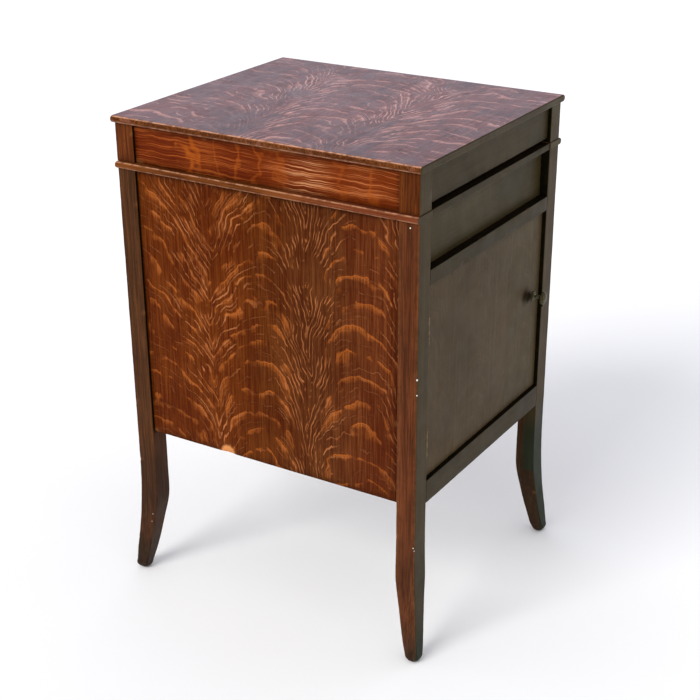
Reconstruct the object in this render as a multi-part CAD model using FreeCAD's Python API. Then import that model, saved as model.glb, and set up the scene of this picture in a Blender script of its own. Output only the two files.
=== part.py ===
import FreeCAD, Part
import math
import os

# Lift-lid icebox, millimetres, +Z up, front (door) towards -Y.
# Built round the middle of the case, then shifted by Y_SHIFT so that the
# origin is the middle of the whole footprint at floor level.

V = FreeCAD.Vector
os.makedirs("parts", exist_ok=True)

# ---------------------------------------------------------------- sizes
H = 914.0            # floor to upper surface of the top board (36 in)
HW = 263.0           # half width over the corner posts
HD = 303.5           # half depth over the corner posts
POST = 38.0          # corner post, square
PI_X = HW - POST     # post inner face, x
PI_Y = HD - POST     # post inner face, y

TOP_T = 12.5         # top board
TOP_OX = 7.0         # top board overhang at the sides
TOP_OY = 5.0         # top board overhang at front and back
Z_TOP = H - TOP_T    # underside of the top board

Z_PART = 833.0       # parting plane between case and lid
LID_GAP = 0.3        # clearance under the closed lid
Z_LID = Z_PART + LID_GAP
WAIST_T = 12.0       # moulded board under the lid
Z_WAIST = Z_PART - WAIST_T
WAIST_OX = 8.5       # how far its rounded edge stands out at the sides
WAIST_OF = 1.5       # and its end grain at the front

Z_MR_T = 732.0       # mid rail, upper edge
Z_MR_B = 705.0       # mid rail, lower edge
Z_BR_T = 346.0       # bottom rail, upper edge
Z_BR_B = 302.0       # bottom rail, lower edge
Z_PANEL = 308.0      # lower edge of side and back panels

REC_SIDE = 5.0       # side panel set back from the post face
REC_UPPER = 16.0     # fixed upper front panel set back
REC_DOOR = 7.0       # door face set back
REC_LID = 6.5        # lid front apron set back
PANEL_T = 10.0
SLOT_H = 8.0         # finger slot under the lid's front apron

LIN_X = 224.5        # zinc lining, outer half width
LIN_B = 265.0        # zinc lining, outer face at the back
LIN_F = -246.0       # zinc lining, outer face at the front
ZN = 1.2             # zinc sheet as modelled
Z_FLOOR = 340.0      # underside of the lining floor

DOOR_GAP_X = 1.6
DOOR_GAP_Z = 1.5
DOOR_T = 20.0
Y_DOOR = -HD + REC_DOOR          # door face
Y_DOOR_B = Y_DOOR + DOOR_T       # back of the door board
JAMB_IN = 178.0                  # half width of the clear door opening
Y_JAMB_F = -268.0
Z_JAMB_B = 364.0
Z_JAMB_T = 687.0
PLUG_X = 172.0
PLUG_Z0, PLUG_Z1 = 370.0, 681.0
PLUG_Y1 = -250.0

HINGE_R = 2.8        # door hinge knuckle
HINGE_PIN_R = 1.3
HINGE_X = -PI_X + 0.1 + HINGE_R
HINGE_Y = Y_DOOR - HINGE_R
HINGE_Z = ((392.0, 442.0), (600.0, 650.0))

LH_R = 3.0           # lid hinge knuckle
LH_PIN_R = 1.4
LH_Y = HD + 0.1 + LH_R
LH_Z = Z_PART + LID_GAP / 2.0
LH_X = ((-190.0, -125.0), (125.0, 190.0))
RUN = 0.05           # running clearance on a pin

KNOB_X, KNOB_Z = 200.0, 541.0
KNOB_OUT = 26.0      # knob nose in front of the door face
SPIN_R = 3.3

FOOT_OUT = 16.0      # how far a foot flares past the post face

Y_FRONT = Y_DOOR - KNOB_OUT      # nose of the knob, foremost point


# ---------------------------------------------------------------- helpers
def box(x0, x1, y0, y1, z0, z1):
    return Part.makeBox(x1 - x0, y1 - y0, z1 - z0, V(x0, y0, z0))


def cyl(r, p, d, h):
    return Part.makeCylinder(r, h, V(*p), V(*d))


def cone(r0, r1, p, d, h):
    return Part.makeCone(r0, r1, h, V(*p), V(*d))


def fuse(shapes):
    s = shapes[0]
    if len(shapes) > 1:
        s = s.fuse(shapes[1:])
    return s.removeSplitter()


def group(shapes):
    out = []
    for s in shapes:
        out += s.Solids
    return Part.makeCompound(out)


def poly_face(pts):
    return Part.Face(Part.makePolygon([V(*p) for p in pts] + [V(*pts[0])]))


def mirror_x(s):
    return s.mirror(V(0, 0, 0), V(1, 0, 0))


def mirror_y(s):
    return s.mirror(V(0, 0, 0), V(0, 1, 0))


def spline(pts, t0=None, t1=None):
    c = Part.BSplineCurve()
    if t0 is None:
        c.interpolate([V(*p) for p in pts])
    else:
        c.interpolate(Points=[V(*p) for p in pts], InitialTangent=V(*t0), FinalTangent=V(*t1))
    return c.toShape()


PARTS = {}


def add(name, shape):
    s = shape.copy()
    s.translate(V(0, Y_SHIFT, 0))
    sol = s.Solids
    assert sol, name
    for q in sol:
        assert q.isValid() and q.Volume > 0.5, (name, q.Volume)
    out = sol[0] if len(sol) == 1 else Part.makeCompound(sol)
    PARTS[name] = out
    out.exportStep("parts/%s.step" % name)


# screw: countersunk head and shank, laid from its head face along d
def screw(p, d, rh, hh, rs, length, grow=0.0):
    px, py, pz = p
    dx, dy, dz = d
    head = cone(rh + grow, rs + grow, p, d, hh + grow)
    shank = cyl(rs + grow, (px + dx * hh, py + dy * hh, pz + dz * hh), d, length - hh + grow)
    return head.fuse(shank).removeSplitter()


def slot_cut(p, d, across, w, depth, length):
    """Screwdriver slot at the head face."""
    ax = V(*across)
    dv = V(*d)
    side = ax.cross(dv)
    pts = []
    base = V(*p) - dv * 0.5
    for a, b in ((-1, -1), (1, -1), (1, 1), (-1, 1)):
        pts.append(base + ax * (a * length / 2) + side * (b * w / 2))
    f = Part.Face(Part.makePolygon(pts + [pts[0]]))
    return f.extrude(dv * (depth + 0.5))


# ---------------------------------------------------------------- legs and posts
# Outline of a post seen square on; offset o is measured outwards from the
# post's outer face, so the same outline serves the x and the y direction.
def post_outline():
    outer = [(0.0, 236.0), (0.35, 210.0), (1.3, 176.0), (2.8, 145.0), (5.0, 112.0), (8.2, 78.0),
             (12.3, 42.0), (FOOT_OUT, 13.0)]
    inner = [(-2.0, 0.0), (-10.0, 9.0), (-16.6, 41.0), (-24.2, 80.0), (-31.4, 120.0), (-34.5, 137.0),
             (-37.0, 156.0), (-37.85, 173.0), (-38.0, 190.0)]
    return outer, inner


def post_prism(axis):
    """Solid swept along the other horizontal axis, for the front left post."""
    outer, inner = post_outline()
    sgn = -1.0
    half = HW if axis == "x" else HD

    def P(o, z, w):
        c = sgn * (half + o)
        return (c, w, z) if axis == "x" else (w, c, z)

    w0 = -(HD + 60) if axis == "x" else -(HW + 60)
    w1 = -(HD - 90) if axis == "x" else -(HW - 90)
    p = lambda o, z: P(o, z, w0)
    edges = [Part.makeLine(V(*p(0, Z_WAIST)), V(*p(0, 236.0)))]
    od = (outer[-1][0] - outer[-2][0], outer[-1][1] - outer[-2][1])
    n = math.hypot(*od)

    def T(o, z):
        return (sgn * o, 0, z) if axis == "x" else (0, sgn * o, z)

    edges.append(spline([p(o, z) for o, z in outer], T(0, -1.0), T(od[0] / n, od[1] / n)))
    # rounded toe: from the outer edge round to the flat sole
    a = V(*p(FOOT_OUT, 13.0))
    m = V(*p(FOOT_OUT - 1.7, 4.3))
    b = V(*p(FOOT_OUT - 8.0, 0.0))
    edges.append(Part.Arc(a, m, b).toShape())
    c = V(*p(inner[0][0], inner[0][1]))
    edges.append(Part.makeLine(b, c))
    e = V(*p(inner[1][0], inner[1][1]))
    mid = V(*p(-7.6, 3.2))
    edges.append(Part.Arc(c, mid, e).toShape())
    idr = (inner[3][0] - inner[1][0], inner[3][1] - inner[1][1])
    k = math.hypot(*idr)
    edges.append(spline([p(o, z) for o, z in inner[1:]], T(idr[0] / k, idr[1] / k), T(0, 1.0)))
    edges.append(Part.makeLine(V(*p(-POST, 190.0)), V(*p(-POST, Z_WAIST))))
    edges.append(Part.makeLine(V(*p(-POST, Z_WAIST)), V(*p(0, Z_WAIST))))
    f = Part.Face(Part.Wire(edges))
    ext = V(0, w1 - w0, 0) if axis == "x" else V(w1 - w0, 0, 0)
    return f.extrude(ext)


post_fl = post_prism("x").common(post_prism("y")).removeSplitter()
post_fr = mirror_x(post_fl)
post_bl = mirror_y(post_fl)
post_br = mirror_x(post_bl)
Y_BACK = post_bl.optimalBoundingBox(False).YMax      # toe of a back foot, rearmost point
Y_SHIFT = -(Y_FRONT + Y_BACK) / 2.0

# ---------------------------------------------------------------- screws and hinge metal, front
PLATE = 0.8
door_case_leaves, door_door_leaves, door_pins = [], [], []
case_screws, door_screws = [], []
case_cuts, door_cuts = [], []
for z0, z1 in HINGE_Z:
    zc = (z0 + z1) / 2.0
    k0, k1 = z0 + 17.0, z1 - 17.0      # middle knuckle
    lx0, lx1 = -PI_X, -PI_X + PLATE
    dx0, dx1 = -PI_X + PLATE + 0.05, -PI_X + DOOR_GAP_X
    yk = Y_DOOR + 0.2                  # leaf is cleared of the other knuckle in front of this
    leaf = box(lx0, lx1, yk, Y_DOOR_B, z0, z1)
    bits = [leaf]
    for a, b in ((z0, k0 - 0.1), (k1 + 0.1, z1)):
        bits.append(cyl(HINGE_R, (HINGE_X, HINGE_Y, a), (0, 0, 1), b - a))
        bits.append(box(lx0, lx1, HINGE_Y, yk + 0.5, a, b))
    leaf = fuse(bits).cut(cyl(HINGE_PIN_R, (HINGE_X, HINGE_Y, z0 - 1), (0, 0, 1), z1 - z0 + 2))
    dl = box(dx0, dx1, yk, Y_DOOR_B, z0, z1)
    bits = [dl, cyl(HINGE_R, (HINGE_X, HINGE_Y, k0), (0, 0, 1), k1 - k0), box(dx0, dx1, HINGE_Y, yk + 0.5, k0, k1)]
    dleaf = fuse(bits).cut(cyl(HINGE_PIN_R + RUN, (HINGE_X, HINGE_Y, z0 - 1), (0, 0, 1), z1 - z0 + 2))
    # ball tips on the pin
    pin = fuse([cyl(HINGE_PIN_R, (HINGE_X, HINGE_Y, z0 - 2.0), (0, 0, 1), z1 - z0 + 4.0),
                Part.makeSphere(2.1, V(HINGE_X, HINGE_Y, z0 - 2.2)).common(box(-300, 0, -400, 0, z0 - 9, z0 - 0.05)),
                Part.makeSphere(2.1, V(HINGE_X, HINGE_Y, z1 + 2.2)).common(box(-300, 0, -400, 0, z1 + 0.05, z1 + 9))])
    for dz, dy in ((-19.0, 6.5), (0.0, 13.5), (19.0, 6.5)):
        ps = (lx1, Y_DOOR + dy, zc + dz)
        s = screw(ps, (-1, 0, 0), 2.5, 1.6, 1.2, 15.0)
        case_screws.append(s.cut(slot_cut(ps, (-1, 0, 0), (0, 0.7071, 0.7071), 0.5, 0.6, 8)))
        case_cuts.append(screw(ps, (-1, 0, 0), 2.5, 1.6, 1.2, 15.0, 0.06))
        pd = (dx0, Y_DOOR + dy, zc + dz)
        s = screw(pd, (1, 0, 0), 2.5, 1.6, 1.2, 15.0)
        door_screws.append(s.cut(slot_cut(pd, (1, 0, 0), (0, 0.7071, -0.7071), 0.5, 0.6, 8)))
        door_cuts.append(screw(pd, (1, 0, 0), 2.5, 1.6, 1.2, 15.0, 0.06))
    for c in case_cuts[-3:]:
        leaf = leaf.cut(c)
    for c in door_cuts[-3:]:
        dleaf = dleaf.cut(c)
    door_case_leaves.append(leaf)
    door_door_leaves.append(dleaf)
    door_pins.append(pin)

# strike plate: leg on the right post, lug turned in behind the door board
STRIKE_Z = (KNOB_Z - 17.0, KNOB_Z + 17.0)
sx = PI_X
strike = fuse([box(sx - 1.6, sx, Y_DOOR_B + 0.4, Y_JAMB_F - 0.2, *STRIKE_Z),
               box(sx - 12.0, sx, Y_DOOR_B + 0.4, Y_DOOR_B + 2.0, KNOB_Z - 9.0, KNOB_Z + 9.0)])
strike_screws, strike_cuts = [], []
for dz in (-13.0, 13.0):
    p0 = (sx - 1.6, Y_DOOR_B + 4.6, KNOB_Z + dz)
    s = screw(p0, (1, 0, 0), 2.2, 1.5, 1.1, 12.0)
    strike_screws.append(s.cut(slot_cut(p0, (1, 0, 0), (0, 1, 0), 0.5, 0.6, 8)))
    strike_cuts.append(screw(p0, (1, 0, 0), 2.2, 1.5, 1.1, 12.0, 0.06))
for c in strike_cuts:
    strike = strike.cut(c)

for c in case_cuts:
    post_fl = post_fl.cut(c)
for c in strike_cuts:
    post_fr = post_fr.cut(c)

add("post_front_left", post_fl)
add("post_front_right", post_fr)
add("post_back_left", post_bl)
add("post_back_right", post_br)

# ---------------------------------------------------------------- case woodwork
add("side_panel_left", box(-HW + REC_SIDE, -HW + REC_SIDE + PANEL_T, -PI_Y, PI_Y, Z_PANEL, Z_WAIST))
add("side_panel_right", box(HW - REC_SIDE - PANEL_T, HW - REC_SIDE, -PI_Y, PI_Y, Z_PANEL, Z_WAIST))
Y_BP1 = HD - REC_SIDE
Y_BP0 = Y_BP1 - PANEL_T
add("back_panel", box(-PI_X, PI_X, Y_BP0, Y_BP1, Z_PANEL, Z_WAIST))
Y_UP0 = -HD + REC_UPPER
add("upper_front_panel", box(-PI_X, PI_X, Y_UP0, Y_UP0 + PANEL_T, Z_MR_T, Z_WAIST))
add("mid_rail", box(-PI_X, PI_X, -HD, Y_JAMB_F, Z_MR_B, Z_MR_T))
add("bottom_rail", box(-PI_X, PI_X, -HD, Y_JAMB_F, Z_BR_B, Z_BR_T))

SIDE_IN = HW - REC_SIDE - PANEL_T      # inner face of a side panel
board = fuse([box(-SIDE_IN, SIDE_IN, -PI_Y, PI_Y, Z_PANEL, Z_PANEL + 10.0),
              box(-PI_X, PI_X, Y_JAMB_F, Y_BP0, Z_PANEL, Z_PANEL + 10.0)])
DRAIN_X, DRAIN_Y, DRAIN_R = -150.0, 248.0, 9.5
board = board.cut(cyl(DRAIN_R + 0.3, (DRAIN_X, DRAIN_Y, 0), (0, 0, 1), 900))
add("bottom_board", board)

# moulded boards under the lid; outer edge a full round
def waist_side():
    z0, z1 = Z_WAIST, Z_PART
    r = WAIST_T / 2.0
    x_out = -HW - WAIST_OX
    a = V(x_out + r, 0, z0)
    m = V(x_out, 0, z0 + r)
    b = V(x_out + r, 0, z1)
    xin = -(LIN_X - ZN)
    w = Part.Wire([Part.Arc(a, m, b).toShape(), Part.makeLine(b, V(xin, 0, z1)),
                   Part.makeLine(V(xin, 0, z1), V(xin, 0, z0)), Part.makeLine(V(xin, 0, z0), a)])
    s = Part.Face(w).extrude(V(0, 2 * HD + WAIST_OF, 0))
    s.translate(V(0, -HD - WAIST_OF, 0))
    return s


waist_l = waist_side()
add("waist_board_left", waist_l)
add("waist_board_right", mirror_x(waist_l))
WX = LIN_X - ZN
add("waist_rail_front", box(-WX, WX, -HD, LIN_F + ZN, Z_WAIST, Z_PART))
waist_b = box(-WX, WX, LIN_B - ZN, HD, Z_WAIST, Z_PART)

# ---------------------------------------------------------------- lid hinges
lid_back_leaves, lid_lid_leaves, lid_pins = [], [], []
lh_case_screws, lh_case_cuts, lh_lid_screws, lh_lid_cuts = [], [], [], []
LEAF_Y0 = 272.0
for x0, x1 in LH_X:
    third = (x1 - x0) / 3.0
    k0, k1 = x0 + third, x1 - third
    t = 1.2
    yk = HD - 0.1
    # case leaf, let into the top of the back rail
    bits = [box(x0, x1, LEAF_Y0, yk, Z_PART - t, Z_PART)]
    for a, b in ((x0, k0 - 0.1), (k1 + 0.1, x1)):
        bits.append(cyl(LH_R, (a, LH_Y, LH_Z), (1, 0, 0), b - a))
        bits.append(box(a, b, yk - 1.0, LH_Y, Z_PART - t, Z_PART))
    leaf = fuse(bits).cut(cyl(LH_PIN_R, (x0 - 1, LH_Y, LH_Z), (1, 0, 0), x1 - x0 + 2))
    bits = [box(x0, x1, LEAF_Y0, yk, Z_LID, Z_LID + t),
            cyl(LH_R, (k0, LH_Y, LH_Z), (1, 0, 0), k1 - k0),
            box(k0, k1, yk - 1.0, LH_Y, Z_LID, Z_LID + t)]
    lleaf = fuse(bits).cut(cyl(LH_PIN_R + RUN, (x0 - 1, LH_Y, LH_Z), (1, 0, 0), x1 - x0 + 2))
    waist_b = waist_b.cut(box(x0, x1, LEAF_Y0, HD + 1, Z_PART - t, Z_PART + 1))
    pin = fuse([cyl(LH_PIN_R, (x0 - 1.6, LH_Y, LH_Z), (1, 0, 0), x1 - x0 + 3.2),
                cyl(2.3, (x0 - 1.6, LH_Y, LH_Z), (1, 0, 0), 1.55),
                cyl(2.3, (x1 + 0.05, LH_Y, LH_Z), (1, 0, 0), 1.55)])
    for dx, dy in ((-22.0, 9.0), (0.0, 16.0), (22.0, 9.0)):
        xm = (x0 + x1) / 2.0 + dx
        ps = (xm, LEAF_Y0 + dy, Z_PART)
        s = screw(ps, (0, 0, -1), 2.9, 1.9, 1.4, 10.5)
        lh_case_screws.append(s.cut(slot_cut(ps, (0, 0, -1), (0.7071, 0.7071, 0), 0.6, 0.7, 8)))
        lh_case_cuts.append(screw(ps, (0, 0, -1), 2.9, 1.9, 1.4, 10.5, 0.06))
        pl = (xm, LEAF_Y0 + dy, Z_LID)
        s = screw(pl, (0, 0, 1), 2.9, 1.9, 1.4, 16.0)
        lh_lid_screws.append(s.cut(slot_cut(pl, (0, 0, 1), (0.7071, -0.7071, 0), 0.6, 0.7, 8)))
        lh_lid_cuts.append(screw(pl, (0, 0, 1), 2.9, 1.9, 1.4, 16.0, 0.06))
    for c in lh_case_cuts[-3:]:
        leaf = leaf.cut(c)
        waist_b = waist_b.cut(c)
    for c in lh_lid_cuts[-3:]:
        lleaf = lleaf.cut(c)
    lid_back_leaves.append(leaf)
    lid_lid_leaves.append(lleaf)
    lid_pins.append(pin)
add("waist_rail_back", waist_b)

# ---------------------------------------------------------------- insulation, slabs of cork in the walls
Z_CB = Z_PANEL + 10.0
add("cork_walls", group([box(-SIDE_IN, -LIN_X, -PI_Y, PI_Y, Z_CB, Z_WAIST), box(LIN_X, SIDE_IN, -PI_Y, PI_Y, Z_CB, Z_WAIST),
                         box(-LIN_X, LIN_X, LIN_B, Y_BP0, Z_CB, Z_WAIST),
                         box(-LIN_X, LIN_X, Y_UP0 + PANEL_T, LIN_F, Z_MR_T, Z_WAIST)]))
add("cork_bottom", box(-LIN_X, LIN_X, LIN_F, LIN_B, Z_CB, Z_FLOOR).cut(
    cyl(DRAIN_R + 0.3, (DRAIN_X, DRAIN_Y, 0), (0, 0, 1), 900)))

# door jamb: wood frame behind the door board
add("door_jamb", group([box(-LIN_X, -JAMB_IN, Y_JAMB_F, LIN_F, Z_JAMB_B, Z_JAMB_T),
                        box(JAMB_IN, LIN_X, Y_JAMB_F, LIN_F, Z_JAMB_B, Z_JAMB_T),
                        box(-LIN_X, LIN_X, Y_JAMB_F, LIN_F, Z_CB, Z_JAMB_B),
                        box(-LIN_X, LIN_X, Y_JAMB_F, LIN_F, Z_JAMB_T, Z_MR_T)]))

# ---------------------------------------------------------------- zinc lining, flat sheets soldered at the corners
LI = LIN_X - ZN
hole = cyl(DRAIN_R + 0.3, (DRAIN_X, DRAIN_Y, 0), (0, 0, 1), 900)
add("zinc_floor", box(-LIN_X, LIN_X, LIN_F, LIN_B, Z_FLOOR, Z_FLOOR + ZN).cut(hole))
Z_Z0 = Z_FLOOR + ZN
add("zinc_walls", group([box(-LIN_X, -LI, LIN_F, LIN_B, Z_Z0, Z_WAIST),
                         box(LI, LIN_X, LIN_F, LIN_B, Z_Z0, Z_WAIST),
                         box(-LI, LI, LIN_B - ZN, LIN_B, Z_Z0, Z_WAIST),
                         box(-LI, LI, LIN_F, LIN_F + ZN, Z_JAMB_T, Z_WAIST)]))
Y_IN_F = LIN_F + ZN
Y_IN_B = LIN_B - ZN

# ---------------------------------------------------------------- ice chamber floor: bearers, pan, rack
Z_BEAR = 704.0
Z_SH = 512.0         # food shelf, underside
add("cleats", group([box(-LI, -LI + 12.0, Y_IN_F + 4, Y_IN_B - 4, Z_BEAR - 16.0, Z_BEAR),
                     box(LI - 12.0, LI, Y_IN_F + 4, Y_IN_B - 4, Z_BEAR - 16.0, Z_BEAR),
                     box(-LI, -LI + 12.0, Y_IN_F + 14, 226.0, Z_SH - 14.0, Z_SH),
                     box(LI - 12.0, LI, Y_IN_F + 14, 226.0, Z_SH - 14.0, Z_SH)]))
add("ice_bearers", group([box(-LI, LI, y, y + 32.0, Z_BEAR, Z_BEAR + 16.0) for y in (-196.0, -6.0, 184.0)]))

PAN_X, PAN_Y0, PAN_Y1 = 196.0, -236.0, 260.0
Z_PAN = Z_BEAR + 16.0
PAN_H = 44.0


def tray(x0, x1, y0, y1, z0, z1, t):
    """Open tray as five flat sheets that meet at their edges."""
    return [box(x0, x1, y0, y1, z0, z0 + t), box(x0, x0 + t, y0, y1, z0 + t, z1), box(x1 - t, x1, y0, y1, z0 + t, z1),
            box(x0 + t, x1 - t, y0, y0 + t, z0 + t, z1), box(x0 + t, x1 - t, y1 - t, y1, z0 + t, z1)]


pan = tray(-PAN_X, PAN_X, PAN_Y0, PAN_Y1, Z_PAN, Z_PAN + PAN_H, ZN)
# outlet near the pan's back left corner; it drops into the funnel of the drain pipe
OUT_X, OUT_Y = -150.0, 245.0
pan[0] = pan[0].cut(cyl(8.0, (OUT_X, OUT_Y, 0), (0, 0, 1), 1200))
add("ice_pan", group(pan))
add("ice_pan_outlet", fuse([cyl(8.0, (OUT_X, OUT_Y, 655.0), (0, 0, 1), Z_PAN + ZN - 655.0),
                            cyl(12.0, (OUT_X, OUT_Y, Z_PAN + ZN), (0, 0, 1), 1.0)]).cut(
    cyl(6.8, (OUT_X, OUT_Y, 650.0), (0, 0, 1), 90.0)))

# slatted rack that keeps the ice out of its own melt water
RK_X, RK_Y0, RK_Y1 = 186.0, -226.0, 246.0
Z_RK = Z_PAN + ZN + 0.05
RACK_X = (-118.0, 0.0, 118.0)
rack = []
for x in RACK_X:
    rack.append(box(x - 11.0, x + 11.0, RK_Y0, RK_Y1, Z_RK, Z_RK + 18.0))
n = 9
pitch = (RK_Y1 - RK_Y0 - 30.0) / (n - 1)
slats = []
for i in range(n):
    y = RK_Y0 + i * pitch
    slats.append(box(-RK_X, RK_X, y, y + 30.0, Z_RK + 18.0, Z_RK + 29.0))
nails = []
for i in range(n):
    for x in RACK_X:
        nails.append((x, RK_Y0 + i * pitch + 15.0))
cut_nails = [cyl(1.3, (x, y, Z_RK + 3), (0, 0, 1), 40) for x, y in nails]
add("ice_rack_slats", group([s.cut([c for c in cut_nails if c.BoundBox.YMin < s.BoundBox.YMax and c.BoundBox.YMax > s.BoundBox.YMin])
                             for s in slats]))
add("ice_rack_runners", group([r.cut([c for c in cut_nails if abs(c.BoundBox.Center.x - r.BoundBox.Center.x) < 12]) for r in rack]))
add("ice_rack_nails", group([fuse([cyl(1.25, (x, y, Z_RK + 3.1), (0, 0, 1), 25.9), cyl(2.6, (x, y, Z_RK + 29.0), (0, 0, 1), 0.8)])
                             for x, y in nails]))

# ---------------------------------------------------------------- drain pipe
# funnel under the pan's outlet, then straight down the back wall to the drip pan


def revolve_z(pts, cx, cy):
    w = Part.makePolygon([V(cx + r, cy, z) for r, z in pts] + [V(cx + pts[0][0], cy, pts[0][1])])
    return Part.Face(w).revolve(V(cx, cy, 0), V(0, 0, 1), 360)


DT = 1.2
drain = revolve_z([(DRAIN_R - DT, 287.0), (DRAIN_R, 287.0), (DRAIN_R, 628.0), (14.5, 648.0), (14.5, 662.0),
                   (14.5 - DT, 662.0), (14.5 - DT, 648.6), (DRAIN_R - DT, 628.6)], DRAIN_X, DRAIN_Y)
add("drain_pipe", drain)

# ---------------------------------------------------------------- food shelf: tinned wire on wooden cleats
SX, SY0, SY1 = 218.0, -226.0, 224.0
rw, rf = 1.5, 2.6
wires = []
zc = Z_SH + rf + 0.05
# border wire, rounded corners
R = 16.0


def border(z, r):
    x0, x1, y0, y1 = -SX, SX, SY0, SY1
    e = []
    pts = [V(x0 + R, y0, z), V(x1 - R, y0, z), V(x1, y0 + R, z), V(x1, y1 - R, z), V(x1 - R, y1, z), V(x0 + R, y1, z),
           V(x0, y1 - R, z), V(x0, y0 + R, z)]
    q = R * (1 - math.sqrt(0.5))
    mids = [V(x1 - q, y0 + q, z), V(x1 - q, y1 - q, z), V(x0 + q, y1 - q, z), V(x0 + q, y0 + q, z)]
    for i in range(4):
        a, b, c = pts[2 * i], pts[2 * i + 1], pts[(2 * i + 2) % 8]
        e.append(Part.makeLine(a, b))
        e.append(Part.Arc(b, mids[i], c).toShape())
    path = Part.Wire(e)
    circ = Part.Wire(Part.makeCircle(r, pts[0], V(1, 0, 0)))
    return path.makePipeShell([circ], True, False)


wires.append(border(zc, rf))
nw = 15
for i in range(1, nw):
    x = -SX + i * (2 * SX) / nw
    wires.append(cyl(rw, (x, SY0, zc + rf - 0.4), (0, 1, 0), SY1 - SY0))
for y in (-110.0, 108.0):
    wires.append(cyl(2.2, (-SX, y, zc - 0.4), (1, 0, 0), 2 * SX))
add("wire_shelf", fuse(wires))

# ---------------------------------------------------------------- drip pan under the case, on hanging runners
RUN_X = 178.0
run_l = fuse([box(-RUN_X - 18.0, -RUN_X, -228.0, 262.0, 276.0, Z_PANEL),
              box(-RUN_X, -RUN_X + 10.0, -228.0, 262.0, 276.0, 281.0)])
add("pan_runners", group([run_l, mirror_x(run_l)]))
DX, DY0, DY1, DZ0, DZ1 = 165.0, -232.0, 264.0, 258.0, 281.2
dpan = tray(-DX, DX, DY0, DY1, DZ0, DZ1, ZN)
dpan += [box(-DX - 9.0, -DX, DY0, DY1, DZ1, DZ1 + ZN).fuse(box(-DX, -DX + ZN, DY0, DY1, DZ1, DZ1 + ZN)).removeSplitter(),
         box(DX, DX + 9.0, DY0, DY1, DZ1, DZ1 + ZN).fuse(box(DX - ZN, DX, DY0, DY1, DZ1, DZ1 + ZN)).removeSplitter()]
add("drip_pan", group(dpan))
# bail-shaped pull riveted on the pan's front
pp = [V(-28, DY0, 270.0), V(-28, DY0 - 16, 270.0), V(28, DY0 - 16, 270.0), V(28, DY0, 270.0)]


def bend_rod(pts, r_bend, ro):
    last = pts[0]
    es = []
    for i in range(1, len(pts) - 1):
        a, b, c = pts[i - 1], pts[i], pts[i + 1]
        u = (a - b).normalize()
        w = (c - b).normalize()
        ang = u.getAngle(w)
        d = r_bend / math.tan(ang / 2.0)
        s, e = b + u * d, b + w * d
        bis = (u + w).normalize()
        centre = b + bis * (r_bend / math.sin(ang / 2.0))
        m = centre + (b - centre).normalize() * r_bend
        es.append(Part.makeLine(last, s))
        es.append(Part.Arc(s, m, e).toShape())
        last = e
    es.append(Part.makeLine(last, pts[-1]))
    path = Part.Wire(es)
    circ = Part.Wire(Part.makeCircle(ro, pts[0], (pts[1] - pts[0]).normalize()))
    return path.makePipeShell([circ], True, False)


add("drip_pan_pull", bend_rod(pp, 7.0, 2.2))

# ---------------------------------------------------------------- lid
def top_board():
    xo, yo = HW + TOP_OX, HD + TOP_OY
    z0, z1 = Z_TOP, H
    r = TOP_T / 2.0 - 0.15
    # section across the width: nosed left and right edges
    e = []
    e.append(Part.makeLine(V(-xo + r, 0, z0), V(xo - r, 0, z0)))
    q = r * math.sqrt(0.5)
    e.append(Part.Arc(V(xo - r, 0, z0), V(xo - r + q, 0, z0 + r - q), V(xo, 0, z0 + r)).toShape())
    e.append(Part.makeLine(V(xo, 0, z0 + r), V(xo, 0, z1 - r)))
    e.append(Part.Arc(V(xo, 0, z1 - r), V(xo - r + q, 0, z1 - r + q), V(xo - r, 0, z1)).toShape())
    e.append(Part.makeLine(V(xo - r, 0, z1), V(-xo + r, 0, z1)))
    e.append(Part.Arc(V(-xo + r, 0, z1), V(-xo + r - q, 0, z1 - r + q), V(-xo, 0, z1 - r)).toShape())
    e.append(Part.makeLine(V(-xo, 0, z1 - r), V(-xo, 0, z0 + r)))
    e.append(Part.Arc(V(-xo, 0, z0 + r), V(-xo + r - q, 0, z0 + r - q), V(-xo + r, 0, z0)).toShape())
    a = Part.Face(Part.Wire(e)).extrude(V(0, 2 * yo, 0))
    a.translate(V(0, -yo, 0))
    # section along the depth: eased front and back edges
    rf_, rb = 2.4, 2.4
    e = []
    q = rf_ * (1 - math.sqrt(0.5))
    e.append(Part.makeLine(V(0, -yo + 1.2, z0), V(0, yo - 1.2, z0)))
    e.append(Part.makeLine(V(0, yo - 1.2, z0), V(0, yo, z0 + 1.2)))
    e.append(Part.makeLine(V(0, yo, z0 + 1.2), V(0, yo, z1 - rb)))
    e.append(Part.Arc(V(0, yo, z1 - rb), V(0, yo - q, z1 - q), V(0, yo - rb, z1)).toShape())
    e.append(Part.makeLine(V(0, yo - rb, z1), V(0, -yo + rf_, z1)))
    e.append(Part.Arc(V(0, -yo + rf_, z1), V(0, -yo + q, z1 - q), V(0, -yo, z1 - rf_)).toShape())
    e.append(Part.makeLine(V(0, -yo, z1 - rf_), V(0, -yo, z0 + 1.2)))
    e.append(Part.makeLine(V(0, -yo, z0 + 1.2), V(0, -yo + 1.2, z0)))
    b = Part.Face(Part.Wire(e)).extrude(V(2 * xo + 20, 0, 0))
    b.translate(V(-xo - 10, 0, 0))
    return a.common(b).removeSplitter()


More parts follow.
